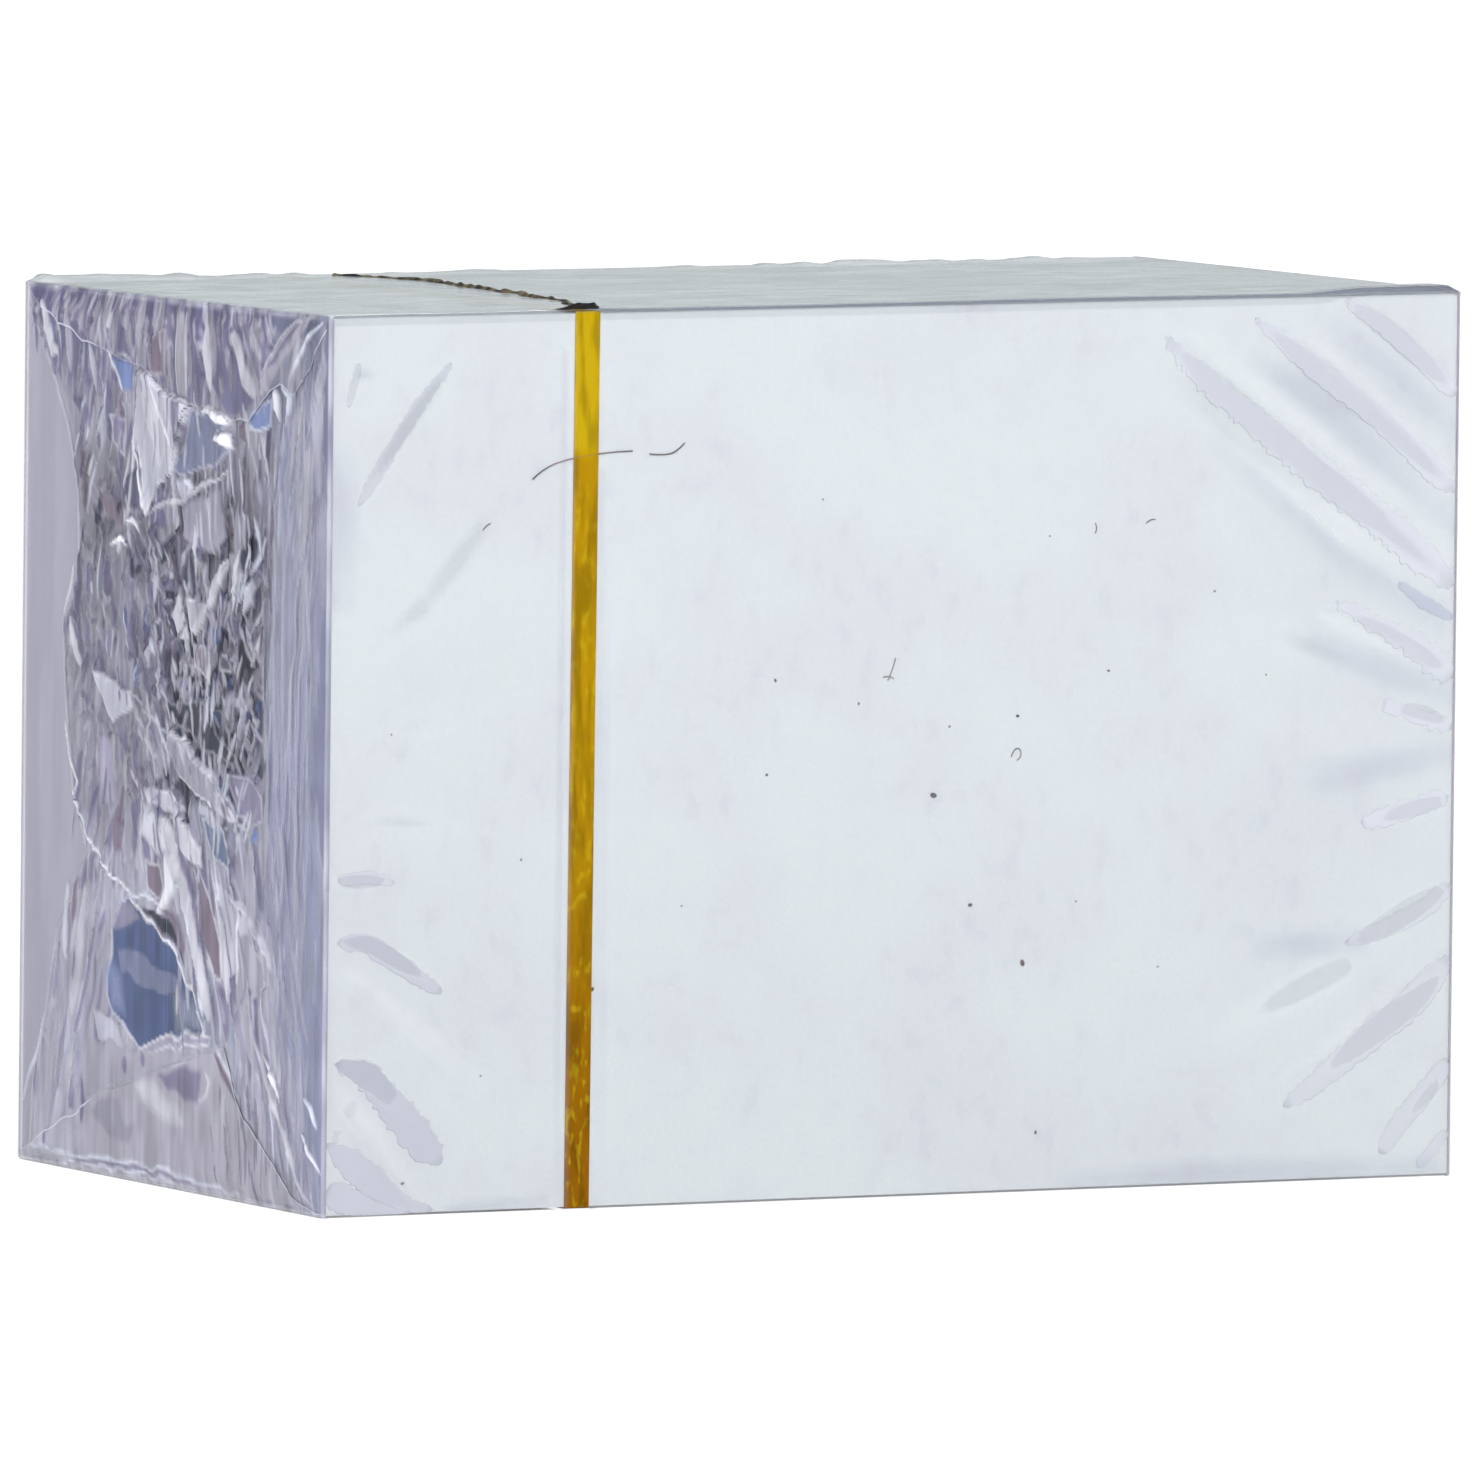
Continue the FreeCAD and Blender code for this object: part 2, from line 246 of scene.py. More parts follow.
@dataclass(frozen=True)
class CardStock(Look):
    """Smooth white card. Its cut edges are duller: grey along the top, and at the ends a dim lavender that is
    painted shade.
    """

    name: str = "card_stock"
    face: Colour = (0.765, 0.815, 0.80)
    face_shade: Colour = (0.70, 0.725, 0.75)
    # The ends' edge colours are painted shade: white card edges darkened and blued for the dim, cool light on
    # the pack's ends.
    edge: Colour = (0.56, 0.56, 0.76)
    edge_shade: Colour = (0.33, 0.35, 0.62)
    top: Colour = (0.66, 0.70, 0.70)
    top_shade: Colour = (0.50, 0.535, 0.56)
    roughness: float = 0.72
    card: float = 0.2 * MM

    def shader(self, tree: ShaderTree) -> Socket:
        """Builds pulpy faces and banded cut edges.

        Args:
            tree: The material's tree.

        Returns:
            The shader's socket.
        """
        normal = tree.read("ShaderNodeNewGeometry", "Normal").socket
        on_face, on_top = (abs(tree.part(normal, axis)) > 0.5 for axis in (1, 2))
        mottle = tree.noise(120.0, detail=4.0).between(0.40, 0.64)
        grain = tree.noise(4200.0)
        pulp = tree.noise(700.0, (1.0, 1.0, 0.7), 4.0).between(0.50, 0.72)
        face = tree.mix(mottle * 0.45 + pulp * (0.25 + mottle * 0.35), self.face, self.face_shade)
        face = tree.shaded(face, 0.93 + grain * 0.14)
        bands = tree.noise(1.0 / (self.card * 1.7), (0.004, 1.0, 0.004)).between(0.34, 0.66)
        rubbed = tree.noise(300.0, (1.0, 6.0, 0.25)).between(0.35, 0.7)
        worn = bands * 0.35 + rubbed * 0.3
        # The end edges take the painted shade colours, and the top edges take grey.
        edge = tree.mix(worn, self.edge, self.edge_shade)
        edge = tree.mix(on_top, edge, tree.mix(worn, self.top, self.top_shade))
        bump = tree.bump(0.12, 0.04 * MM, grain + mottle * 0.4)
        return tree.body(tree.mix(on_face, edge, face), self.roughness + grain * 0.16, Normal=bump)


@dataclass(frozen=True)
class GoldTape(Look):
    """Gold tear strip: bright above a ragged border, darker and mottled below it, and darker still towards
    the bottom.
    """

    name: str = "gold_tape"
    # free is the bright gold above the border. gold_below and gold_bottom are the darker gold below it.
    free: Colour = (0.60, 0.395, 0.004)
    gold_below: Colour = (0.475, 0.265, 0.001)
    gold_bottom: Colour = (0.29, 0.115, 0.001)
    dot: Colour = (0.62, 0.45, 0.01)
    border_height: float = 43.9 * MM
    ragged: float = 1.2 * MM

    def shader(self, tree: ShaderTree) -> Socket:
        """Builds bright gold above a ragged border, and darker, dotted gold below it.

        Args:
            tree: The material's tree.

        Returns:
            The shader's socket.
        """
        height = tree.part(tree.place(), 2)
        wavy = height + tree.noise(500.0) * self.ragged
        # Darker gold below the border, darkening further towards the bottom.
        held = tree.mix(height.between(30 * MM, 2 * MM), self.gold_below, self.gold_bottom)
        gold = tree.mix(wavy.between(self.border_height, self.border_height + self.ragged), held, self.free)
        dots = tree.noise(2600.0, (1.0, 1.0, 0.45), 4.0).between(0.52, 0.66)
        dots = dots * height.between(43.6 * MM, 42.4 * MM)
        dark = tree.noise(1500.0, (1.0, 1.0, 0.16), 4.0).between(0.44, 0.62)
        colour = tree.shaded(tree.mix(dots * 0.55, gold, self.dot), 1.04 - dark * 0.34)
        bump = tree.bump(0.25, 0.03 * MM, dots)
        return tree.body(colour, 0.5 + dark * 0.2, Specular_IOR_Level=0.02, Normal=bump)


@dataclass(frozen=True)
class ClearFilm(Look):
    """Glossy clear film. The mesh says how many layers lie over each other, and how much of a painted colour
    covers it; that colour stands in for the film's reflections, highlights and shade.
    """

    name: str = "clear_film"
    clearness: Colour = (0.985, 0.985, 0.99)
    roughness: float = 0.02
    head_on: float = 0.045

    def shader(self, tree: ShaderTree) -> Socket:
        """Builds a clear sheet that mirrors more at a slant, under the colour painted on it.

        Args:
            tree: The material's tree.

        Returns:
            The shader's socket.
        """
        side = tree.read("ShaderNodeLayerWeight", "Facing")
        behind = tree.read("ShaderNodeNewGeometry", "Backfacing")
        one = self.head_on + (1.0 - self.head_on) * side ** 5.0
        skins = tree.told("layers") * 2.0
        mirrored = skins * one / (1.0 + (skins - 1.0).larger(0.0) * one)
        clear = tree.add("ShaderNodeBsdfTransparent", {"Color": self.clearness}).outputs[0]
        paint_cover = tree.told("paint_cover")
        gloss = tree.add("ShaderNodeBsdfGlossy", {"Roughness": self.roughness + paint_cover * 0.35}).outputs[0]
        tint = tree.read("ShaderNodeAttribute", "Color", attribute_name="tint")
        # The painted coat: the mesh's tint, which is painted reflection, highlight and shade.
        paint_coat = tree.body(tint, 0.25, Specular_IOR_Level=0.05)
        sheet = tree.blend(mirrored * (1.0 - behind), clear, gloss)
        return tree.blend(paint_cover * (1.0 - behind), sheet, paint_coat)


@dataclass(frozen=True)
class Lint(Look):
    """Dark brown-grey dust and fibres caught under the film."""

    name: str = "lint"
    dark: Colour = (0.035, 0.03, 0.035)
    pale: Colour = (0.22, 0.15, 0.13)

    def shader(self, tree: ShaderTree) -> Socket:
        """Builds mottled, rough dust."""
        return tree.body(tree.mix(tree.noise(700.0).between(0.4, 0.65), self.dark, self.pale), 0.9)


@dataclass(frozen=True)
class TapeShadeAndLine(Look):
    """Black and brown marks on the film by the tape: black at the front, in the wedge that is painted shadow,
    and browner further back along the dark line.
    """

    name: str = "tape_grime"
    black: Colour = (0.008, 0.007, 0.007)
    brown: Colour = (0.15, 0.12, 0.06)

    def shader(self, tree: ShaderTree) -> Socket:
        """Builds black that turns mottled brown away from the front.

        Args:
            tree: The material's tree.

        Returns:
            The shader's socket.
        """
        # Black at the front, for the painted shadow of the wedge, and mottled brown behind it.
        behind_bend = tree.part(tree.place(), 1).between(-19.3 * MM, -18 * MM)
        browner = tree.noise(900.0).between(0.38, 0.62) * behind_bend
        return tree.body(tree.mix(browner, self.black, self.brown), 0.85)


# ---------------------------------------------------------------- small makers


class Heights:
    """Smooth random heights over a plane, from a seeded lattice of numbers."""

    SIZE = 128

    def __init__(self, seed: int) -> None:
        """Draws the lattice."""
        self.lattice = np.random.default_rng(seed).random((self.SIZE, self.SIZE))

    def at(self, a: Grid, b: Grid) -> Grid:
        """Reads the heights.

        Args:
            a: First coordinates, in waves.
            b: Second coordinates, in waves.

        Returns:
            Values from 0 to 1.
        """
        a0, b0 = np.floor(a).astype(int), np.floor(b).astype(int)
        s, t = (share * share * share * (share * (share * 6 - 15) + 10) for share in (a - a0, b - b0))
        near, far = a0 % self.SIZE, (a0 + 1) % self.SIZE
        low, high = b0 % self.SIZE, (b0 + 1) % self.SIZE
        below = self.lattice[near, low] * (1 - s) + self.lattice[far, low] * s
        above = self.lattice[near, high] * (1 - s) + self.lattice[far, high] * s
        return below * (1 - t) + above * t

    def along(self, a: Grid, b: float) -> Grid:
        """Reads the heights along one line of the plane."""
        return self.at(a, a * 0 + b)


def eased(value: Grid, low: float, high: float) -> Grid:
    """Runs smoothly from 0 at one value to 1 at another.

    Args:
        value: The values.
        low: Where the result is 0.
        high: Where the result is 1.

    Returns:
        The eased shares.
    """
    share = np.clip((value - low) / (high - low), 0.0, 1.0)
    return share * share * (3 - 2 * share)


def fading(value: Grid, low: float, high: float) -> Grid:
    """Runs smoothly from 1 at one value to 0 at another."""
    return 1 - eased(value, low, high)


def beside(points: Sequence[Place], a: Grid, b: Grid) -> tuple[Grid, Grid, Grid]:
    """Measures places against a line of straight runs.

    Args:
        points: The line's corners.
        a: First coordinates of the places.
        b: Second coordinates of the places.

    Returns:
        The distance from the line, the side of it (1 on the left of its run) and the share of its length.
    """
    corners = np.array(points, float)
    runs = np.hypot(*(corners[1:] - corners[:-1]).T)
    total, walked = runs.sum(), 0.0
    best = np.full(a.shape, np.inf)
    side = np.ones(a.shape)
    share = np.zeros(a.shape)
    for start, end, run in zip(corners[:-1], corners[1:], runs):
        da, db = (end - start) / run
        forward = (a - start[0]) * da + (b - start[1]) * db
        across = (b - start[1]) * da - (a - start[0]) * db
        held = np.clip(forward, 0, run)
        away = np.hypot(forward - held, across)
        nearer = away < best
        best = np.where(nearer, away, best)
        side = np.where(nearer, np.where(across >= 0, 1.0, -1.0), side)
        share = np.where(nearer, (walked + held) / total, share)
        walked += run
    return best, side, share


def within(points: Sequence[Place], a: Grid, b: Grid) -> Grid:
    """Measures how far inside a closed outline places are.

    Args:
        points: The outline's corners.
        a: First coordinates of the places.
        b: Second coordinates of the places.

    Returns:
        Distances to the outline, above 0 inside it.
    """
    away, _, _ = beside([*points, points[0]], a, b)
    inside = np.zeros(a.shape, bool)
    for (a0, b0), (a1, b1) in zip(points, [*points[1:], points[0]]):
        if b0 == b1:
            continue
        crosses = (b0 > b) != (b1 > b)
        inside ^= crosses & (a < (a1 - a0) * (b - b0) / (b1 - b0) + a0)
    return np.where(inside, away, -away)


def follow(line: Sequence[Place], a: Grid) -> Grid:
    """Reads a line's second coordinate at first coordinates that rise along it."""
    places = np.array(line)
    return np.interp(a, places[:, 0], places[:, 1])


def film_wall(outer: Grid, inner: Grid, ring: bool = False) -> Wall:
    """Closes two skins of film into one thin wall, with its faces turned outwards.

    Args:
        outer: Points of the outside skin, rows by columns by 3.
        inner: Points of the inside skin, of the same shape.
        ring: True if the last column meets the first.

    Returns:
        The points and the faces.
    """
    rows, columns = outer.shape[:2]
    count = rows * columns
    points = np.concatenate([outer.reshape(-1, 3), inner.reshape(-1, 3)])
    number = np.arange(count).reshape(rows, columns)
    if ring:
        number = np.concatenate([number, number[:, :1]], axis=1)
    a, b, c, d = number[:-1, :-1], number[:-1, 1:], number[1:, 1:], number[1:, :-1]
    out = np.stack([a, b, c, d], axis=-1).reshape(-1, 4)
    back = out[:, ::-1] + count
    rims = [number[0, ::-1], number[-1, :]]
    if not ring:
        rims += [number[:, 0], number[::-1, -1]]
    edges = [np.stack([r[1:], r[:-1], r[:-1] + count, r[1:] + count], axis=-1)[:, ::-1] for r in rims]
    faces = np.concatenate([out, back, *edges])
    first, second, third, fourth = (points[faces[:, corner]] for corner in range(4))
    volume = (first * np.cross(second, third) + first * np.cross(third, fourth)).sum()
    if volume < 0:
        faces = faces[:, ::-1]
    return points, [tuple(f) for f in faces.tolist()]


def joined(walls: Sequence[Wall]) -> Wall:
    """Puts several walls into one list of points and one of faces.

    Args:
        walls: The points and faces of each.

    Returns:
        The points and the faces.
    """
    faces, count = [], 0
    for points, corners in walls:
        faces += [tuple(corner + count for corner in face) for face in corners]
        count += len(points)
    return np.concatenate([points for points, _ in walls]), faces


def twice(told: dict[str, Grid]) -> dict[str, Grid]:
    """Gives both skins of a wall the numbers of one.

    Args:
        told: Numbers, and a colour named tint, at each row and column of the skin.

    Returns:
        The same, point by point.
    """
    flat = {name: grid.reshape(-1, 3 if name == "tint" else 1) for name, grid in told.items()}
    return {name: np.concatenate([grid, grid]) for name, grid in flat.items()}


def add_object(name: str, data: bpy.types.ID) -> bpy.types.Object:
    """Puts a new object at the scene's origin.

    Args:
        name: Its name.
        data: Its mesh, curve, lamp or camera.

    Returns:
        The object.
    """
    made = bpy.data.objects.new(name, data)
    bpy.context.scene.collection.objects.link(made)
    return made


def baked(holder: bpy.types.Object, name: str) -> bpy.types.Object:
    """Replaces a curve, or an object with modifiers, by one plain mesh.

    Args:
        holder: The object, which is removed.
        name: The piece's name.

    Returns:
        The piece.
    """
    bpy.context.view_layer.update()
    mesh = bpy.data.meshes.new_from_object(holder.evaluated_get(bpy.context.evaluated_depsgraph_get()))
    bpy.data.objects.remove(holder)
    mesh.name = name
    return add_object(name, mesh)


class Finish(Enum):
    """The finishes that the pack's own pieces take."""

    FILM = ClearFilm()
    LINT = Lint()
    GRIME = TapeShadeAndLine()


class Maker:
    """Turns points and faces into finished pieces of the pack."""

    def __init__(self) -> None:
        """Makes the shared finishes."""
        self.finishes = {finish: finish.value.material() for finish in Finish}

    def piece(self, name: str, wall: Wall, finish: Finish, told: dict[str, Grid]) -> bpy.types.Object:
        """Makes one smooth piece.

        Args:
            name: The piece's name.
            wall: Its points, in millimetres, and its faces, by point number.
            finish: Its finish.
            told: Numbers, and a colour named tint, that the mesh carries point by point.

        Returns:
            The piece.
        """
        mesh = bpy.data.meshes.new(name)
        points, faces = wall
        mesh.from_pydata((points * MM).tolist(), [], faces)
        for label, values in told.items():
            kind, slot = ("FLOAT_COLOR", "color") if label == "tint" else ("FLOAT", "value")
            if label == "tint":
                values = np.concatenate([values, np.ones((len(values), 1))], axis=1)
            carried = mesh.attributes.new(label, kind, "POINT").data
            carried.foreach_set(slot, values.astype(np.float32).ravel())
        mesh.polygons.foreach_set("use_smooth", [True] * len(mesh.polygons))
        mesh.materials.append(self.finishes[finish])
        mesh.update()
        LOG.info("%s: %d faces", name, len(faces))
        return add_object(name, mesh)

    def film(self, name: str, wall: Wall, told: dict[str, Grid]) -> None:
        """Makes a piece of film and hangs it on the pack in place of the plain wrap.

        Args:
            name: The piece's name.
            wall: Its points, in millimetres, and its faces.
            told: Its layers, its paint_cover and its painted tint, point by point.
        """
        piece = self.piece(name, wall, Finish.FILM, told)
        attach(piece, "root")
        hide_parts("film_wrap")


# ---------------------------------------------------------------- the wrapping


# Millimetres, as are all places and lengths from here to the studio.
CARD_HEIGHT = 52.0
STACK_DEPTH = 40.3
TOP = 52.36


@dataclass(frozen=True)
class Wrinkle:
    """A tension wrinkle: a flank that faces up along a line, crisp or soft, and a long easy one below it.

    The flank has this half width in millimetres, and is this steep in degrees.
    """

    line: Line
    half: float
    steep: float = 6.5
    sharp: bool = True

    def raise_film(self, a: Grid, b: Grid) -> Grid:
        """Works out how far the wrinkle lifts the film.

        Args:
            a: Places along the pack.
            b: Places up the pack.

        Returns:
            Heights.
        """
        away, side, share = beside(self.line, a, b)
        across = away * side
        swell = np.sin(np.pi * np.clip(share, 0.0, 1.0)) ** 0.55
        half = self.half * np.maximum(swell, 0.02)
        fall = 2 * half * math.tan(math.radians(self.steep)) * swell
        flank = np.clip((half - across) / (2 * half), 0.0, 1.0)
        if not self.sharp:
            flank = flank * flank * (3 - 2 * flank)
        tail = fading(-across - half, 0.0, 1.0 + 5.0 * self.half)
        ends = eased(share, 0.0, 0.04) * fading(share, 0.97, 1.0) if self.sharp else swell
        near = np.where(away < 12 * self.half + 4, 1.0, 0.0)
        return fall * flank * tail * ends * near


@dataclass(frozen=True)
class Band:
    """A soft band along a line on the front beside the wrinkles, of light if it is bright, else of shade."""

    bright: bool
    half: float
    line: Line

    def share(self, a: Grid, b: Grid) -> Grid:
        """Works out how much of the band each place takes.

        Args:
            a: Places along the pack.
            b: Places up the pack.

        Returns:
            Shares from 0 to 1.
        """
        away, _, share = beside(self.line, a, b)
        return fading(away, 0.0, self.half) * np.sin(np.pi * np.clip(share, 0.0, 0.85)) ** 0.8


WRINKLES: tuple[Wrinkle, ...] = (
    Wrinkle(((17.5, 50), (23.5, 45), (27.5, 42), (32, 39), (37.2, 34.5)), 0.85),
    Wrinkle(((23.5, 51), (27.5, 48), (32, 45), (37.2, 40)), 0.7),
    Wrinkle(((29.5, 52), (32.5, 50), (37.2, 46)), 0.6),
    Wrinkle(((29, 34), (32, 32.5), (37.2, 29.5)), 0.5),
    Wrinkle(((32.5, 28), (35, 27.5), (37.2, 26.5)), 0.45),
    Wrinkle(((31, 21), (33, 21.5), (37.2, 22.5)), 0.45),
    Wrinkle(((30, 14), (32.5, 15), (37.2, 17.5)), 0.6),
    Wrinkle(((26, 4.5), (31.5, 8.5), (34.5, 10.5), (37.2, 13)), 0.85),
    Wrinkle(((32.5, 1.5), (34, 3.5), (37.2, 7)), 0.7),
    Wrinkle(((35, 0.5), (37.2, 3)), 0.5),
    Wrinkle(((-35.5, 41.5), (-33.5, 44), (-29.5, 49.5)), 0.35),
    Wrinkle(((-36, 47), (-35.5, 49.5)), 0.25),
    Wrinkle(((-37.2, 19.5), (-34.5, 19.5), (-32.5, 19.5)), 0.35),
    Wrinkle(((-37.2, 16), (-34.5, 16), (-29.5, 13)), 0.55),
    Wrinkle(((-37.2, 9), (-34.5, 8.5), (-32.5, 6.5), (-29.5, 3)), 0.95),
    Wrinkle(((-37.2, 5), (-34, 2.5), (-32, 0.5)), 0.75),
    Wrinkle(((17, 48.5), (24, 43), (29, 39), (37.2, 33.5)), 1.7, 3.4, False),
    Wrinkle(((22, 50), (27.5, 46), (32, 42.5), (37.2, 38)), 1.3, 3.0, False),
    Wrinkle(((20, 34), (28, 31.5), (37.2, 27.5)), 1.4, 2.4, False),
    Wrinkle(((21, 28), (29, 26.5), (37.2, 24)), 1.4, 2.0, False),
    Wrinkle(((17, 6.5), (25, 10.5), (37.2, 16)), 1.6, 2.4, False),
    Wrinkle(((-37.2, 30.5), (-31, 35.5), (-25, 43)), 1.3, 2.4, False),
    Wrinkle(((-37.2, 26), (-32, 28.5), (-26, 30)), 1.2, 2.0, False),
    Wrinkle(((-37.2, 14), (-34.5, 13), (-31.5, 11), (-27, 6)), 1.3, 3.2, False),
    Wrinkle(((-37.2, 7.5), (-35, 6), (-32.5, 3)), 0.9, 3.2, False),
    Wrinkle(((-37.2, 23), (-32, 23), (-26, 22)), 1.1, 2.0, False),
    Wrinkle(((-28, 1), (0, 1.5), (24, 4)), 1.3, 1.4, False),
)
BANDS: tuple[Band, ...] = (
    Band(False, 1.7, ((20.5, 44.5), (24.5, 41.5), (28.5, 38), (32, 35.5), (36, 33))),
    Band(False, 1.5, ((22.5, 49), (27.5, 46), (32, 42.5), (37, 38.5))),
    Band(False, 1.2, ((28, 51), (32, 48.2), (37, 44))),
    Band(False, 1.4, ((26, 32.5), (30, 31), (34, 29.5), (37, 28.5))),
    Band(False, 1.2, ((23.5, 14), (27, 14), (31, 14))),
    Band(False, 1.4, ((27, 23.5), (32, 24.5), (37, 25))),
    Band(True, 1.1, ((17.5, 48), (22, 44.3), (26, 41.2), (30, 38), (35, 35.2))),
    Band(True, 1.0, ((18, 51), (22, 48), (27, 44.3), (33, 39.8), (37, 36.5))),
    Band(True, 0.9, ((25, 51), (29, 48.2), (34, 44), (37, 41.8))),
    Band(True, 0.8, ((27, 33.8), (31, 32), (35, 30.8))),
    Band(True, 0.9, ((24, 5), (28, 7.5), (32, 10.5), (36, 13.5))),
    Band(True, 1.3, ((-37, 15), (-34.5, 13.2), (-31.5, 11), (-28, 8))),
    Band(True, 1.2, ((-37, 8), (-35.2, 6), (-32.8, 3.3), (-31.5, 1))),
    Band(False, 1.6, ((-37, 45), (-36.4, 42), (-36.6, 36))),
    Band(False, 1.2, ((10, 0.4), (20, 0.7), (30, 0.7), (36, 0.5))),
    Band(False, 0.5, ((-30, 0.2), (-27, 0.4), (-23, 0.6))),
    Band(False, 0.35, ((-19.3, 2), (-19.3, 20), (-19.4, 43))),
    Band(False, 0.3, ((-22, 1), (-22, 20), (-22, 50))),
)


@dataclass(frozen=True)
class Round:
    """Places on the sleeve: along, across and up the pack, and the outward way across and up at each."""

    x: Grid
    y: Grid
    z: Grid
    out_y: Grid
    out_z: Grid

    def off(self, lift: Grid) -> Grid:
        """Gives the points that stand a lift off the places."""
        return np.stack([self.x, self.y + self.out_y * lift, self.z + self.out_z * lift], axis=-1)


@dataclass(frozen=True)
class FilmSleeve:
    """The film round the four long sides, pulled into wrinkles towards both ends."""

    maker: Maker
    half_length: float = 37.25
    front: float = -20.13
    rear: float = 20.16
    top_front: float = TOP
    top_rear: float = 51.96
    bend: float = 0.32
    film: float = 0.03
    stations: int = 180
    tape_place: float = -20.6
    tape_lean: float = math.radians(0.2)
    tape_border: Place = (0.80, 0.86)
    lap_height: float = 23.0
    paint_coat: Colour = (0.86, 0.87, 0.92)
    top_plain: Colour = (0.62, 0.665, 0.66)
    top_pale: Colour = (0.74, 0.79, 0.775)
    top_dark: Colour = (0.43, 0.47, 0.47)
    # Painted shade for the top-front bend.
    front_bend_shade: Colour = (0.20, 0.22, 0.27)
    shade: Colour = (0.64, 0.66, 0.77)
    light: Colour = (0.98, 1.0, 1.0)

    def off_tape(self, at: Round) -> Grid:
        """Measures how far places are from the tape's middle, which leans a little."""
        return np.abs(at.x - (self.tape_place + np.tan(self.tape_lean) * (at.z - CARD_HEIGHT / 2)))

    def places(self) -> Round:
        """Lays out the sleeve: its outline, seen from the pack's end, at each station along the pack.

        Returns:
            The places.
        """
        front, rear = self.front, self.rear
        corners = ((front, 0.0), (front, self.top_front), (rear, self.top_rear), (rear, 0.0))
        outs = ((-1.0, 0.0), (0.0, 1.0), (1.0, 0.0), (0.0, -1.0))
        outline = []
        for side, count in enumerate((132, 46, 40, 14)):
            start, end = corners[side], corners[(side + 1) % 4]
            out, turned = outs[side], outs[(side + 1) % 4]
            span = math.dist(start, end)
            along = ((end[0] - start[0]) / span, (end[1] - start[1]) / span)
            for step in np.linspace(self.bend, span - self.bend, count):
                outline.append((start[0] + along[0] * step, start[1] + along[1] * step, *out))
            for turn in np.radians([22.5, 45.0, 67.5]):
                way = [o * math.cos(turn) + t * math.sin(turn) for o, t in zip(out, turned)]
                bent = [e - (o + t) * self.bend + w * self.bend for e, o, t, w in zip(end, out, turned, way)]
                outline.append((*bent, *way))
        share = np.linspace(-1, 1, self.stations)
        along_pack = self.half_length * (share + 0.12 * np.sin(np.pi * share) / np.pi)
        grids = (np.meshgrid(along_pack, column, indexing="ij") for column in np.array(outline).T)
        (x, y), (_, z), (_, out_y), (_, out_z) = grids
        return Round(x, y, z, out_y, out_z)

    def relief(self, at: Round) -> Grid:
        """Works out how far the film stands off the smooth sleeve.

        Args:
            at: Places on the sleeve.

        Returns:
            Heights in millimetres.
        """
        x, y, z = at.x, at.y, at.z
        on_front, on_rear, on_top = (np.clip(way, 0, 1) ** 2 for way in (-at.out_y, at.out_y, at.out_z))
        wrinkled = np.zeros(x.shape)
        behind = np.zeros(x.shape)
        for wrinkle in WRINKLES:
            wrinkled = wrinkled + wrinkle.raise_film(x, z)
            behind = behind + wrinkle.raise_film(-x, z)
        slow, mid, fine = Heights(11), Heights(12), Heights(13)
        waves = slow.at(x / 13 + 40, z / 9 + 40) * 0.09 + mid.at(x / 5 + 9, z / 4 + 9) * 0.012
        streaks = mid.at(x / 16 + 3, y / 1.6 + 50) * 0.02 + fine.at(x / 5 + 3, y / 1.7 + 90) * 0.009
        rolled = slow.along(x / 6 + 20, 5) * 0.16 + mid.along(x / 1.3 + 20, 7) * 0.22 - 0.15
        rolled = np.maximum(rolled, 0.0) + 0.3 * eased(-x, 22.0, 35.0)
        sway = slow.at(x / 7 + 70, y / 9 + 20) * 0.10 * (0.6 - 0.5 * eased(y, 9.0, 18.0))
        sway = sway + rolled * eased(y, 14.0, 19.0)
        sway = sway + 0.30 * eased(x, 26.0, 31.0) * fading(y, -18.5, -14.0)
        lap = eased(np.abs(z - self.lap_height), 3.4, 2.6) * 0.05
        rims = eased(self.half_length - np.abs(x), 0.0, 0.9)
        tented = 0.05 * fading(self.off_tape(at), 0.85, 1.45)
        flat = on_front * (wrinkled + waves) + on_rear * (behind + waves + lap) + on_top * (streaks + sway)
        return rims * (flat + tented)

    def painted_light_shade_and_streaks(self, at: Round) -> tuple[Grid, Grid]:
        """Works out the colour painted over the sleeve and how much of the film it covers: bands of painted
        light and shade beside the front's wrinkles, grey streaks and blots on the top, and painted shade
        along the top-front bend.

        Args:
            at: Places on the sleeve.

        Returns:
            How much of the film the paint covers, and the tint.
        """
        x, y = at.x, at.y
        paint_cover = np.full(x.shape, 0.012)
        tint = np.tile(np.array(self.paint_coat), (*x.shape, 1))

        def paint(share: Grid, colour: Colour, density: float, firm: float = 4.0) -> None:
            """Paints colour over the sleeve by shares, with the colour taking over faster where it is firm.
            """
            paint_cover[...] += (density - paint_cover) * share
            tint[...] += (np.array(colour) - tint) * np.clip(share * firm, 0, 1)[..., None]

        front, top = (np.clip(way, 0, 1) ** 4 for way in (-at.out_y, at.out_z))
        # Bands of painted light and shade beside the front's wrinkles.
        for band in BANDS:
            paint(band.share(x, at.z) * front, *((self.light, 0.24) if band.bright else (self.shade, 0.28)))
        streak, blot = Heights(41), Heights(42)
        fine = streak.at(x / 6 + 3, y / 0.9 + 30) * 0.6 + streak.at(x / 2 + 50, y / 1.4 + 60) * 0.4
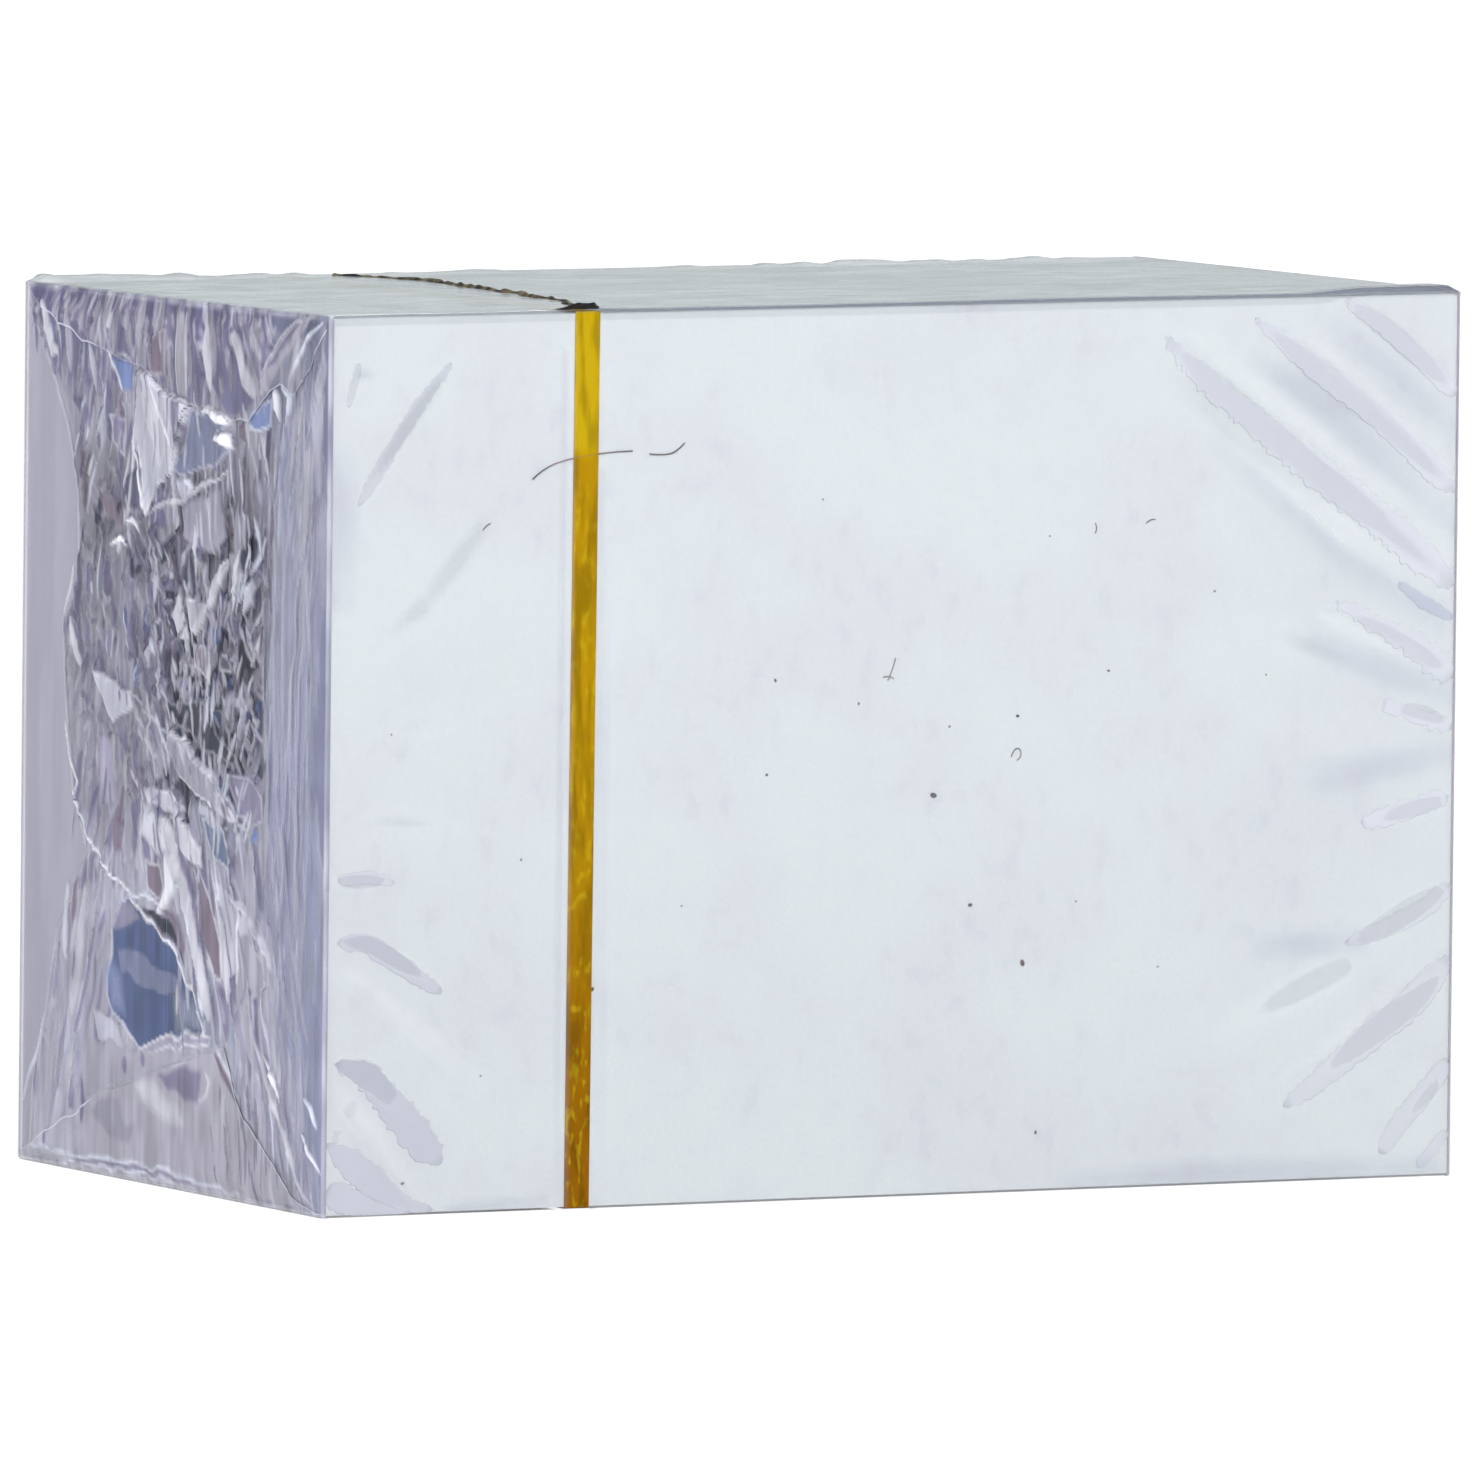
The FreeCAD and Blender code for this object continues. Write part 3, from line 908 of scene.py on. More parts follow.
        # Grey streaks and darker blots over the top, and a darker broken line along its rear edge.
        paint(top, self.top_plain, 0.42)
        paint(top * eased(fine, 0.35, 0.85), self.top_pale, 0.5, 1.0)
        paint(top * eased(streak.at(x / 3 + 80, y / 0.8 + 9), 0.6, 0.9), self.top_dark, 0.42, 1.0)
        blots = eased(blot.at(x / 5 + 9, y / 3 + 3) * 0.6 + blot.at(x / 1.9, y / 0.8) * 0.4, 0.45, 0.85)
        paint(top * blots * eased(y, -14.0, 12.0), self.top_dark, 0.44, 1.0)
        paint(eased(y, 18.6, 19.9) * top * eased(blot.along(x / 1.6 + 70, 0), 0.3, 0.6), self.top_dark, 0.6)
        # Painted shade along the top-front bend, from the tape rightwards.
        bent = eased(at.out_z, 0.3, 0.65) * fading(y - self.front, 0.15, 0.5) * (at.out_y <= 0)
        paint(bent * eased(x, -24.0, -18.0), self.front_bend_shade, 0.7)
        return paint_cover, tint

    def build(self) -> None:
        """Makes the sleeve."""
        at = self.places()
        lift = self.relief(at)
        taped = fading(self.off_tape(at), *self.tape_border) * np.abs(at.out_y)
        paint_cover, tint = self.painted_light_shade_and_streaks(at)
        told = {"layers": 1 - 0.97 * taped, "paint_cover": paint_cover * (1 - taped), "tint": tint}
        self.maker.film("film_sleeve", film_wall(at.off(lift), at.off(lift - self.film), True), twice(told))


class Tint(Enum):
    """Colours painted on the film over an end, standing in for its reflections and shade: painted highlights
    on bright rolls, down to painted shade in deep folds.
    """

    WHITE = (0.90, 0.90, 0.94)
    BRIGHT = (0.68, 0.71, 0.79)
    PALE = (0.60, 0.60, 0.65)
    MIST = (0.50, 0.50, 0.57)
    LAVENDER = (0.41, 0.395, 0.455)
    STEEL = (0.35, 0.37, 0.46)
    MAUVE = (0.36, 0.34, 0.43)
    GREY = (0.32, 0.31, 0.37)
    FRONT = (0.24, 0.25, 0.35)
    VIOLET = (0.22, 0.20, 0.30)
    DEEP = (0.18, 0.20, 0.31)
    PURPLE = (0.155, 0.15, 0.245)
    BROWN = (0.19, 0.15, 0.195)
    BLUE = (0.17, 0.23, 0.44)
    NAVY = (0.07, 0.10, 0.21)
    TEAL = (0.12, 0.17, 0.26)
    DARK = (0.09, 0.09, 0.14)
    BLACK = (0.025, 0.03, 0.05)


class Sheet:
    """The film over one end as a grid of depths from the front and heights."""

    WHOLE = (slice(None), slice(None))

    def __init__(self, u: Grid, v: Grid) -> None:
        """Lays a smooth sheet, half covered by painted lavender shade.

        Args:
            u: The grid's depths, rising.
            v: The grid's heights, rising.
        """
        self.u, self.v = u, v
        self.wide, self.tall = np.meshgrid(u, v, indexing="ij")
        self.height = np.full(self.wide.shape, 0.05)
        self.layers = np.ones(self.wide.shape)
        # Half covered by painted lavender shade.
        self.paint_cover = np.full(self.wide.shape, 0.5)
        self.tint = np.tile(np.array(Tint.LAVENDER.value), (*self.wide.shape, 1))
        self.sway = Heights(31)

    def near(self, line: Sequence[Place], reach: float) -> tuple[tuple[slice, slice], Grid, Grid]:
        """Finds the part of the grid round some places.

        Args:
            line: The places.
            reach: How far round them the part goes.

        Returns:
            The part as two slices, and its depths and heights, bowed a little as folds are.
        """
        low, high = np.min(line, axis=0) - reach, np.max(line, axis=0) + reach
        part = tuple(slice(*np.searchsorted(*run)) for run in zip((self.u, self.v), zip(low, high)))
        u, v, sway = self.wide[part], self.tall[part], self.sway
        bowed_u = (sway.at(u / 1.3 + 3, v / 2.2 + 5) - 0.5) * 0.34 + (sway.at(u / 4, v / 5) - 0.5) * 0.4
        bowed_v = (sway.at(u / 1.1 + 50, v / 1.7 + 9) - 0.5) * 0.5
        return part, u + bowed_u, v + bowed_v

    def paint(self, share: Grid, tint: Any, paint_cover: float, part: tuple[slice, slice] = WHOLE) -> None:
        """Paints colour over the sheet, or a part of it.

        Args:
            share: How much of the new paint each place takes.
            tint: The paint's look, or its colour at each place.
            paint_cover: How much of the film the paint covers.
            part: The part of the grid.
        """
        colour = np.array(tint.value if isinstance(tint, Tint) else tint)
        self.paint_cover[part] += (paint_cover - self.paint_cover[part]) * share
        self.tint[part] += (colour - self.tint[part]) * share[..., None]


@dataclass(frozen=True)
class Patch:
    """A flat patch of film on an end, tilted between the creases that bound it, with one of the painted Tints
    over it.

    It rises by back towards the rear and by up towards the top, per millimetre. Its border fades over soft
    millimetres and gets a painted highlight by rim_highlight.
    """

    tint: Tint
    outline: Line
    paint_cover: float = 0.85
    lift: float = 0.1
    back: float = 0.0
    up: float = 0.0
    rim_highlight: float = 0.0
    soft: float = 0.12

    def lay(self, sheet: Sheet) -> None:
        """Lays the patch on a sheet.

        Args:
            sheet: The film over the end.
        """
        part, u, v = sheet.near(self.outline, 0.4)
        if u.size == 0:
            return
        inside = within(self.outline, u, v)
        share = eased(inside, -self.soft, self.soft)
        middle = np.mean(self.outline, axis=0)
        plane = 0.15 + self.lift + (u - middle[0]) * self.back + (v - middle[1]) * self.up
        sheet.height[part] += (np.clip(plane, 0.05, 0.75) - sheet.height[part]) * share * 0.85
        sheet.paint(share, self.tint, self.paint_cover, part)
        # A painted highlight along the border.
        sheet.paint(fading(np.abs(inside - 0.06), 0.04, 0.15) * self.rim_highlight, Tint.WHITE, 0.8, part)


@dataclass(frozen=True)
class Streak:
    """A spindle of folded film along a line, roofed down its middle, pointed at both tips and painted with
    one of the Tints.

    It has this half width and this height of roof in millimetres. Its left border gets a painted highlight by
    rim_highlight, and its tips are blunter for a smaller point.
    """

    tint: Tint
    line: Line
    half: float = 0.2
    paint_cover: float = 0.8
    roof: float = 0.08
    rim_highlight: float = 0.0
    point: float = 0.6

    def lay(self, sheet: Sheet) -> None:
        """Lays the streak on a sheet.

        Args:
            sheet: The film over the end.
        """
        part, u, v = sheet.near(self.line, self.half + 0.25)
        if u.size == 0:
            return
        away, side, share = beside(self.line, u, v)
        half = self.half * np.clip(np.sin(np.pi * share), 0.0, 1.0) ** self.point + 0.01
        sheet.height[part] += self.roof * np.clip(1 - away / (half + 0.05), 0, 1)
        sheet.paint(fading(away, half * 0.6 - 0.06, half + 0.10), self.tint, self.paint_cover, part)
        # A painted highlight along the left border.
        border = (side > 0) * fading(np.abs(away - half), 0.02, 0.13) * eased(half / self.half, 0.2, 0.7)
        sheet.paint(border * self.rim_highlight, Tint.WHITE, 0.75, part)


@dataclass(frozen=True)
class Thicket:
    """Many narrow slivers of folded film over one region of an end, between its low and high corners, each
    painted with one of its tints.

    They lean by degrees from upright, from lean_low at the region's front to lean_high at its rear, and each
    draws its length, half width and paint_cover from a range.
    """

    low: Place
    high: Place
    count: int
    tints: tuple[Tint, ...]
    lean_low: float
    lean_high: float
    length: Place
    half: Place
    paint_cover: Place
    roof: float
    rim_highlight: float

    def grow(self, sheet: Sheet, draw: np.random.Generator) -> None:
        """Lays the thicket on a sheet.

        Args:
            sheet: The film over the end.
            draw: Where the seeded numbers come from.
        """
        for _ in range(self.count):
            u, v = draw.uniform(self.low, self.high)
            across = (u - self.low[0]) / (self.high[0] - self.low[0])
            lean = self.lean_low + (self.lean_high - self.lean_low) * across + draw.normal(0.0, 5.0)
            run = draw.uniform(*self.length) / 2
            step_u, step_v = run * math.sin(math.radians(lean)), run * math.cos(math.radians(lean))
            bow = draw.normal(0.0, 0.05) * run
            line = ((u - step_u, v - step_v), (u + bow, v), (u + step_u, v + step_v))
            tint = self.tints[draw.integers(len(self.tints))]
            rim_highlight = self.rim_highlight * draw.uniform() ** 1.5
            roof = self.roof * draw.uniform(0.3, 1.2)
            Streak(tint, line, draw.uniform(*self.half), draw.uniform(*self.paint_cover), roof, rim_highlight).lay(sheet)


class End(Enum):
    """The pack's two ends."""

    LEFT = -1
    RIGHT = 1


TOP_FLAP_EDGE: Line = (
    (0, 52.3), (2, 49), (4, 47.5), (6, 48), (7.5, 47.5), (10, 45.7), (12.5, 45.5), (13.5, 46), (18, 46.3),
    (20.5, 46.7), (24.5, 48.2), (28.5, 48.7), (32, 49.3), (36, 50.5), (40.3, 52),
)
BOTTOM_FLAP_EDGE: Line = (
    (0, 0), (3, 0.8), (6.5, 3), (10.5, 5.7), (12.5, 9), (14, 8.6), (20, 7.2), (24, 6), (29, 5), (31.5, 3.7),
    (35, 2.5), (38.5, 1), (40.3, 0.4),
)
SMOOTH_FROM: Line = (
    (38.5, 0), (38, 5), (36.5, 9), (35, 14), (31, 19), (33, 22.5), (34, 27.5), (34.5, 32), (32.5, 35),
    (32.5, 40), (34, 44), (36, 47), (38.5, 50), (40, 52.4),
)
# The tints that the thickets, scratches, patches and streaks lay are painted reflections, highlights and
# shade.
THICKETS: tuple[Thicket, ...] = (
    Thicket((0.6, 1), (6, 22), 46, (Tint.FRONT, Tint.STEEL, Tint.LAVENDER, Tint.VIOLET), 3, 15, (4, 12),
            (0.1, 0.32), (0.3, 0.6), 0.05, 0.35),
    Thicket((0.6, 20), (8, 40), 38, (Tint.FRONT, Tint.STEEL, Tint.STEEL, Tint.VIOLET), -1, 1, (8, 20),
            (0.12, 0.4), (0.25, 0.5), 0.04, 0.15),
    Thicket((0.6, 38), (7, 51), 46, (Tint.FRONT, Tint.STEEL, Tint.MAUVE, Tint.MIST, Tint.LAVENDER), -5, -18,
            (3, 9), (0.12, 0.45), (0.35, 0.75), 0.07, 0.4),
    Thicket((8, 45.5), (36, 51.6), 60, (Tint.MAUVE, Tint.GREY, Tint.VIOLET, Tint.LAVENDER), 14, -14,
            (1.5, 5), (0.15, 0.5), (0.4, 0.85), 0.08, 0.4),
    Thicket((6.5, 34), (22, 45), 130, (Tint.GREY, Tint.GREY, Tint.MIST, Tint.VIOLET, Tint.BROWN, Tint.DARK),
            -4, 8, (1.5, 6), (0.12, 0.4), (0.5, 0.85), 0.08, 0.5),
    Thicket((20, 34), (33, 46), 100, (Tint.GREY, Tint.LAVENDER, Tint.DARK, Tint.BROWN, Tint.PURPLE,
            Tint.VIOLET), 8, -12, (1.5, 5), (0.2, 0.6), (0.55, 0.9), 0.10, 0.5),
    Thicket((8, 21), (25, 38), 230, (Tint.DARK, Tint.GREY, Tint.BLACK, Tint.DARK, Tint.NAVY, Tint.BROWN,
            Tint.DARK, Tint.VIOLET, Tint.BLACK, Tint.GREY), -22, 24, (1.2, 3.5), (0.16, 0.55), (0.7, 0.95),
            0.12, 0.4),
    Thicket((9, 23), (24, 40), 46, (Tint.GREY, Tint.VIOLET, Tint.DARK, Tint.MIST, Tint.BROWN, Tint.NAVY),
            30, 75, (0.8, 2.4), (0.18, 0.55), (0.6, 0.9), 0.12, 0.4),
    Thicket((9, 23), (26, 40), 46, (Tint.GREY, Tint.VIOLET, Tint.DARK, Tint.MIST, Tint.DARK, Tint.MAUVE),
            -70, -30, (0.8, 2.4), (0.18, 0.55), (0.6, 0.9), 0.12, 0.4),
    Thicket((20, 24), (33, 42), 42, (Tint.MIST, Tint.LAVENDER, Tint.VIOLET, Tint.GREY, Tint.MAUVE), 25, 60,
            (1.2, 3.4), (0.2, 0.6), (0.55, 0.85), 0.10, 0.4),
    Thicket((20, 24), (33, 42), 42, (Tint.MIST, Tint.LAVENDER, Tint.VIOLET, Tint.DARK, Tint.MAUVE), -60,
            -25, (1.2, 3.4), (0.2, 0.6), (0.55, 0.85), 0.10, 0.4),
    Thicket((21, 20), (34, 36), 110, (Tint.MIST, Tint.LAVENDER, Tint.MAUVE, Tint.GREY, Tint.VIOLET,
            Tint.VIOLET), 10, -10, (1.8, 5.5), (0.25, 0.8), (0.5, 0.85), 0.09, 0.35),
    Thicket((6, 5), (17, 22), 90, (Tint.LAVENDER, Tint.MIST, Tint.MAUVE, Tint.STEEL, Tint.MAUVE,
            Tint.VIOLET), 16, 12, (3, 8), (0.2, 0.6), (0.45, 0.8), 0.10, 0.4),
    Thicket((17, 14), (33, 22), 70, (Tint.MIST, Tint.LAVENDER, Tint.MAUVE, Tint.BROWN, Tint.VIOLET), 12,
            -20, (1.5, 5), (0.2, 0.7), (0.5, 0.9), 0.10, 0.4),
    Thicket((26, 2), (37.5, 17), 70, (Tint.MIST, Tint.LAVENDER, Tint.VIOLET, Tint.MAUVE, Tint.LAVENDER),
            -10, -18, (2.5, 8), (0.2, 0.7), (0.3, 0.75), 0.07, 0.25),
)
SCRATCHES: tuple[Thicket, ...] = (
    Thicket((8, 47), (37, 51.8), 90, (Tint.VIOLET, Tint.MAUVE, Tint.LAVENDER, Tint.GREY, Tint.PURPLE), 20,
            -20, (0.8, 3.6), (0.08, 0.32), (0.35, 0.8), 0.06, 0.3),
    Thicket((8, 21), (24, 38), 110, (Tint.MIST, Tint.PALE, Tint.GREY, Tint.BRIGHT), -35, 40, (0.8, 3.0),
            (0.07, 0.16), (0.5, 0.85), 0.05, 0.0),
    Thicket((8, 22), (22, 37), 130, (Tint.GREY, Tint.MIST, Tint.VIOLET, Tint.MAUVE, Tint.BROWN), 60, -60,
            (0.5, 1.8), (0.08, 0.2), (0.4, 0.8), 0.05, 0.2),
    Thicket((6, 49.6), (39, 52), 120, (Tint.LAVENDER, Tint.MIST, Tint.VIOLET, Tint.MAUVE), 45, -45,
            (0.5, 1.9), (0.08, 0.28), (0.5, 0.85), 0.06, 0.2),
    Thicket((7, 37), (33, 46), 70, (Tint.MIST, Tint.PALE, Tint.VIOLET, Tint.BRIGHT), 20, -20, (0.8, 4),
            (0.06, 0.15), (0.4, 0.8), 0.05, 0.0),
    Thicket((20, 19), (33, 37), 50, (Tint.PALE, Tint.MIST, Tint.VIOLET, Tint.PURPLE), 16, -16, (0.8, 4),
            (0.07, 0.2), (0.4, 0.8), 0.05, 0.0),
    Thicket((7, 10), (19, 22), 45, (Tint.PALE, Tint.BRIGHT, Tint.VIOLET, Tint.MAUVE), 22, 8, (1.5, 6),
            (0.06, 0.18), (0.4, 0.8), 0.05, 0.0),
    Thicket((1, 0.5), (14, 8), 50, (Tint.VIOLET, Tint.PALE, Tint.MAUVE), 4, 10, (1, 5), (0.06, 0.15),
            (0.3, 0.6), 0.03, 0.0),
)
PATCHES: tuple[Patch, ...] = (
    Patch(Tint.PURPLE, ((16.5, 51.5), (18.2, 51.5), (18.2, 46.5), (16.4, 46.4))),
    Patch(Tint.PURPLE, ((15, 51.5), (12.5, 51.2), (9.5, 46.8), (10.5, 45.9), (13, 46), (15, 47.5))),
    Patch(Tint.VIOLET, ((11.5, 51.5), (9, 51.3), (6.5, 49), (8, 47.6), (9.2, 48))),
    Patch(Tint.PURPLE, ((29, 50), (28, 51.5), (24.5, 51.6), (24, 50), (25.5, 48.5), (28.5, 48.8)), rim_highlight=0.3),
    Patch(Tint.BROWN, ((23.5, 49.5), (21, 50.5), (21, 48), (23, 47.6)), rim_highlight=0.3),
    Patch(Tint.VIOLET, ((34, 51.5), (31.5, 51.5), (30, 49.5), (31.5, 49.4))),
    Patch(Tint.BLUE, ((28.3, 48.5), (25.7, 48.2), (25.6, 46.8), (27, 46.6))),
    Patch(Tint.MIST, ((24.5, 48.1), (20, 46.6), (18, 46.2), (18.5, 45), (20, 42), (21.5, 41.3),
          (23.4, 39.5), (24.5, 43.2), (25.5, 41.5), (25.5, 43.6), (24.7, 46)), 0.88, 0.3, -0.05, 0.06, 0.5),
    Patch(Tint.PALE, ((23.7, 47.4), (21.4, 45.3), (20.2, 43.8), (21.4, 42.5), (22.7, 44), (24, 46)), 0.8,
          0.3, -0.06, 0.04, 0.2, 0.4),
    Patch(Tint.MIST, ((23.8, 45.5), (22.5, 43.5), (22.8, 41.2), (23.5, 40.5)), 0.8, 0.2),
    Patch(Tint.DEEP, ((18, 46), (14.5, 45.8), (13, 45.3), (14.8, 44.6), (12.2, 44), (15, 42.8), (17.5, 42),
          (20, 42), (18.6, 43.8)), 0.72, 0.05, 0.02, -0.03, 0.3),
    Patch(Tint.WHITE, ((16.6, 46), (14.8, 46.1), (13.2, 45.9), (12, 45.5), (13.5, 45.3), (15.5, 45.6)), 0.9,
          0.3),
    Patch(Tint.WHITE, ((15, 44.4), (13.3, 44.8), (12.3, 44.5), (11.8, 43.7), (13, 43.9), (14, 44.1)), 0.9,
          0.3),
    Patch(Tint.BLUE, ((9.8, 46), (8.4, 46.9), (7, 47.2), (7, 45.7), (8.8, 45.2), (10, 45.2)), 0.8, 0.1, 0.0,
          0.0, 0.5),
    Patch(Tint.BROWN, ((11.2, 45.3), (10.2, 45.3), (10.3, 44.5), (11.2, 44.5))),
    Patch(Tint.WHITE, ((6.8, 47.6), (6.1, 47.4), (5.7, 46), (6.6, 46.4)), 0.85, 0.3),
    Patch(Tint.PURPLE, ((22, 41), (20, 40.5), (20, 39.5), (21, 39), (23, 39))),
    Patch(Tint.BROWN, ((29.5, 40.3), (27.5, 40), (27, 38.7), (28.5, 38.8))),
    Patch(Tint.DARK, ((26.7, 41.3), (24, 42), (24, 40), (25.5, 39.8), (26.7, 40.3))),
    Patch(Tint.VIOLET, ((28.5, 45), (26.5, 45), (26.5, 42.5), (28, 43.3)), rim_highlight=0.4),
    Patch(Tint.PURPLE, ((33.5, 46), (32.5, 46), (31, 44.8), (32, 44.5))),
    Patch(Tint.MIST, ((19.8, 41.6), (18.4, 42), (17, 41), (18.7, 40.5))),
    Patch(Tint.GREY, ((19, 40.3), (14, 41.5), (13, 39), (15, 37.5), (18.5, 38.5)), 0.7),
    Patch(Tint.PALE, ((19, 35.3), (19.8, 33.5), (18.8, 32.5), (17.8, 32.5), (18.2, 34)), rim_highlight=0.4),
    Patch(Tint.LAVENDER, ((18, 35), (15, 34.8), (15.8, 33.5), (17.5, 33)), rim_highlight=0.5),
    Patch(Tint.DARK, ((13.4, 34.3), (11, 34.1), (11, 33.1), (13, 33.4))),
    Patch(Tint.NAVY, ((15, 33.5), (13.3, 33.4), (13.5, 32.6), (15, 32.7))),
    Patch(Tint.BROWN, ((17.2, 32.3), (15.5, 32.4), (15.2, 30.6), (17, 31)), rim_highlight=0.5),
    Patch(Tint.DARK, ((13.6, 31.8), (11.3, 31.8), (11.5, 30.9), (13.3, 31)), rim_highlight=0.4),
    Patch(Tint.BLACK, ((21, 29), (18.5, 28.7), (15, 29.2), (14, 27.2), (11, 25.9), (12.5, 25.4),
          (16.5, 26.5), (19.7, 27.6)), 0.85, 0.05, 0.0, 0.0, 0.2),
    Patch(Tint.VIOLET, ((12.4, 25), (9.5, 25), (8, 24), (8, 22.5), (9.5, 22), (11, 23)), 0.7, rim_highlight=0.3,
          soft=0.35),
    Patch(Tint.GREY, ((19.5, 27), (16.4, 25.8), (14, 24.5), (11, 22.5), (13, 22.5), (16, 23.5),
          (18.5, 24.5), (20, 25.8)), 0.85, 0.35, 0.0, 0.08, 0.6),
    Patch(Tint.MIST, ((30.5, 30), (28, 29.4), (25.6, 28.8), (24.8, 28), (27.7, 27)), 0.8, 0.2, rim_highlight=0.3),
    Patch(Tint.MAUVE, ((29.5, 26), (27.5, 26), (27.5, 22.5), (29.5, 22)), soft=0.4),
    Patch(Tint.BROWN, ((25, 23.8), (24, 24.6), (22.8, 24), (24, 23))),
    Patch(Tint.MIST, ((23, 23.5), (20, 23.4), (18, 22.6), (19, 22), (22.5, 22.5)), rim_highlight=0.3),
    Patch(Tint.MIST, ((16, 23), (14, 22.7), (14, 22), (15.7, 22.2))),
    Patch(Tint.BROWN, ((27.5, 21.2), (26, 21), (26, 19.3), (27.5, 19.5))),
    Patch(Tint.PALE, ((23, 22.2), (20.5, 21.8), (19.8, 20), (21.5, 19.6), (23.5, 20.5)), 0.8, 0.2,
          soft=0.3),
    Patch(Tint.TEAL, ((15.5, 22), (13.5, 22), (12, 20.8), (11.8, 19.5), (13.5, 19.8), (15, 21)), rim_highlight=0.4),
    Patch(Tint.PALE, ((19.3, 22), (17.2, 21.7), (15.7, 20.3), (15.4, 19.3), (17, 19.5), (19, 20.4)), 0.88,
          0.3, 0.0, 0.06, 0.4),
    Patch(Tint.MIST, ((13.8, 18.5), (11.5, 18), (9.5, 16.5), (7, 13), (8.5, 12), (10.5, 14), (12, 13))),
    Patch(Tint.GREY, ((11, 15.5), (9.5, 15.8), (9.3, 13), (10.5, 11.5))),
    Patch(Tint.GREY, ((8.5, 14.7), (7.5, 14), (7.8, 11.5), (8.5, 12.5))),
    Patch(Tint.BROWN, ((16, 19.3), (14.5, 17.5), (13.3, 15), (12.8, 13), (14, 13), (15.3, 15), (16.2, 17)),
          rim_highlight=0.5),
    Patch(Tint.WHITE, ((20.2, 19.8), (18.4, 19.4), (18, 18.6), (19.3, 17.4), (20.6, 16.2), (21.5, 16.2),
          (20.2, 17.8)), 0.85, 0.35, soft=0.2),
    Patch(Tint.BROWN, ((23, 18.9), (21, 19), (20.5, 17.8), (21, 17), (22.8, 17.5)), rim_highlight=0.4),
    Patch(Tint.NAVY, ((25, 16.8), (23.5, 16), (19.5, 14.2), (17, 12.2), (14.8, 9.7), (19.5, 9), (24, 8),
          (26, 9.3), (27.5, 9.7), (28.4, 10.7), (28.4, 12), (27.8, 13), (27.8, 14.8), (26.4, 16.3)), 0.86,
          0.0, 0.0, 0.0, 0.5, 0.08),
    Patch(Tint.BLUE, ((28.3, 12.5), (26.5, 12.2), (26, 10), (27.5, 10.2)), 0.5, 0.0, soft=0.8),
    Patch(Tint.TEAL, ((19.5, 12), (16.5, 11), (15.5, 9.9), (19, 9.4)), 0.4, 0.0, soft=0.6),
    Patch(Tint.VIOLET, ((27.8, 14.8), (25.8, 15.1), (23.8, 15.4), (24.6, 16.4), (26.3, 16.3)), 0.6, 0.0),
    Patch(Tint.DEEP, ((26.9, 13.7), (25, 13.7), (22, 13), (19.4, 12.6), (18.4, 12.1), (19, 11.5),
          (21, 11.4), (24, 11.8), (26.3, 12.4)), 0.85, 0.03, soft=0.1),
    Patch(Tint.BLACK, ((23.8, 16.4), (21.2, 16.2), (19.2, 15.2), (17.5, 13.2), (19.2, 14.2), (21.2, 15.3))),
    Patch(Tint.BROWN, ((20.8, 16.6), (18.8, 15.6), (17.4, 13.8), (18.2, 14), (19.5, 15.2)), 0.8),
    Patch(Tint.TEAL, ((15.8, 13), (14.5, 12), (14.3, 10.3), (15.3, 10.5))),
    Patch(Tint.MAUVE, ((24, 8), (22, 8.7), (19.5, 9.1), (14.2, 9.5), (14.2, 8.8), (19.5, 8.3), (24, 7.5)),
          0.8, 0.1, rim_highlight=0.6, soft=0.08),
    Patch(Tint.MIST, ((29.8, 9.8), (26.5, 9), (26, 8), (29, 8.2))),
    Patch(Tint.LAVENDER, ((30.5, 8), (24.5, 7.8), (14, 8.6), (20, 7.2), (24, 6.1), (27, 5.4), (30.5, 4.5)),
          0.7, soft=0.3),
    Patch(Tint.LAVENDER, ((31, 4.5), (12.5, 9), (10.5, 5.7), (3, 0.8), (0.5, 0.4), (39, 0.4)), 0.8, 0.05,
          soft=0.1),
    Patch(Tint.PALE, ((24.2, 5.9), (21.8, 6.2), (18.4, 4.9), (17.8, 4), (20, 4.2), (23.2, 5)), 0.7, 0.1,
          soft=0.35),
    Patch(Tint.GREY, ((30, 4), (26.2, 4.9), (25.8, 3.7), (24.2, 3.1), (25, 2.3), (27.2, 2.5), (29, 3.2)),
          0.8, 0.1, soft=0.25),
    Patch(Tint.VIOLET, ((21.2, 6.6), (18, 7.2), (15.4, 7.5), (15.7, 5.4), (17.4, 5.6), (19.3, 6)), 0.8, 0.1,
          soft=0.2),
    Patch(Tint.LAVENDER, ((21, 3.5), (17.5, 3.6), (14, 2.6), (10, 1.2), (5.2, 0.4), (12, 0.8), (16, 1.7)),
          0.8, 0.1, soft=0.3),
    Patch(Tint.MIST, ((39, 0.6), (33, 0.6), (31, 2.6), (34.5, 2.6)), 0.7, 0.1, soft=0.4),
)
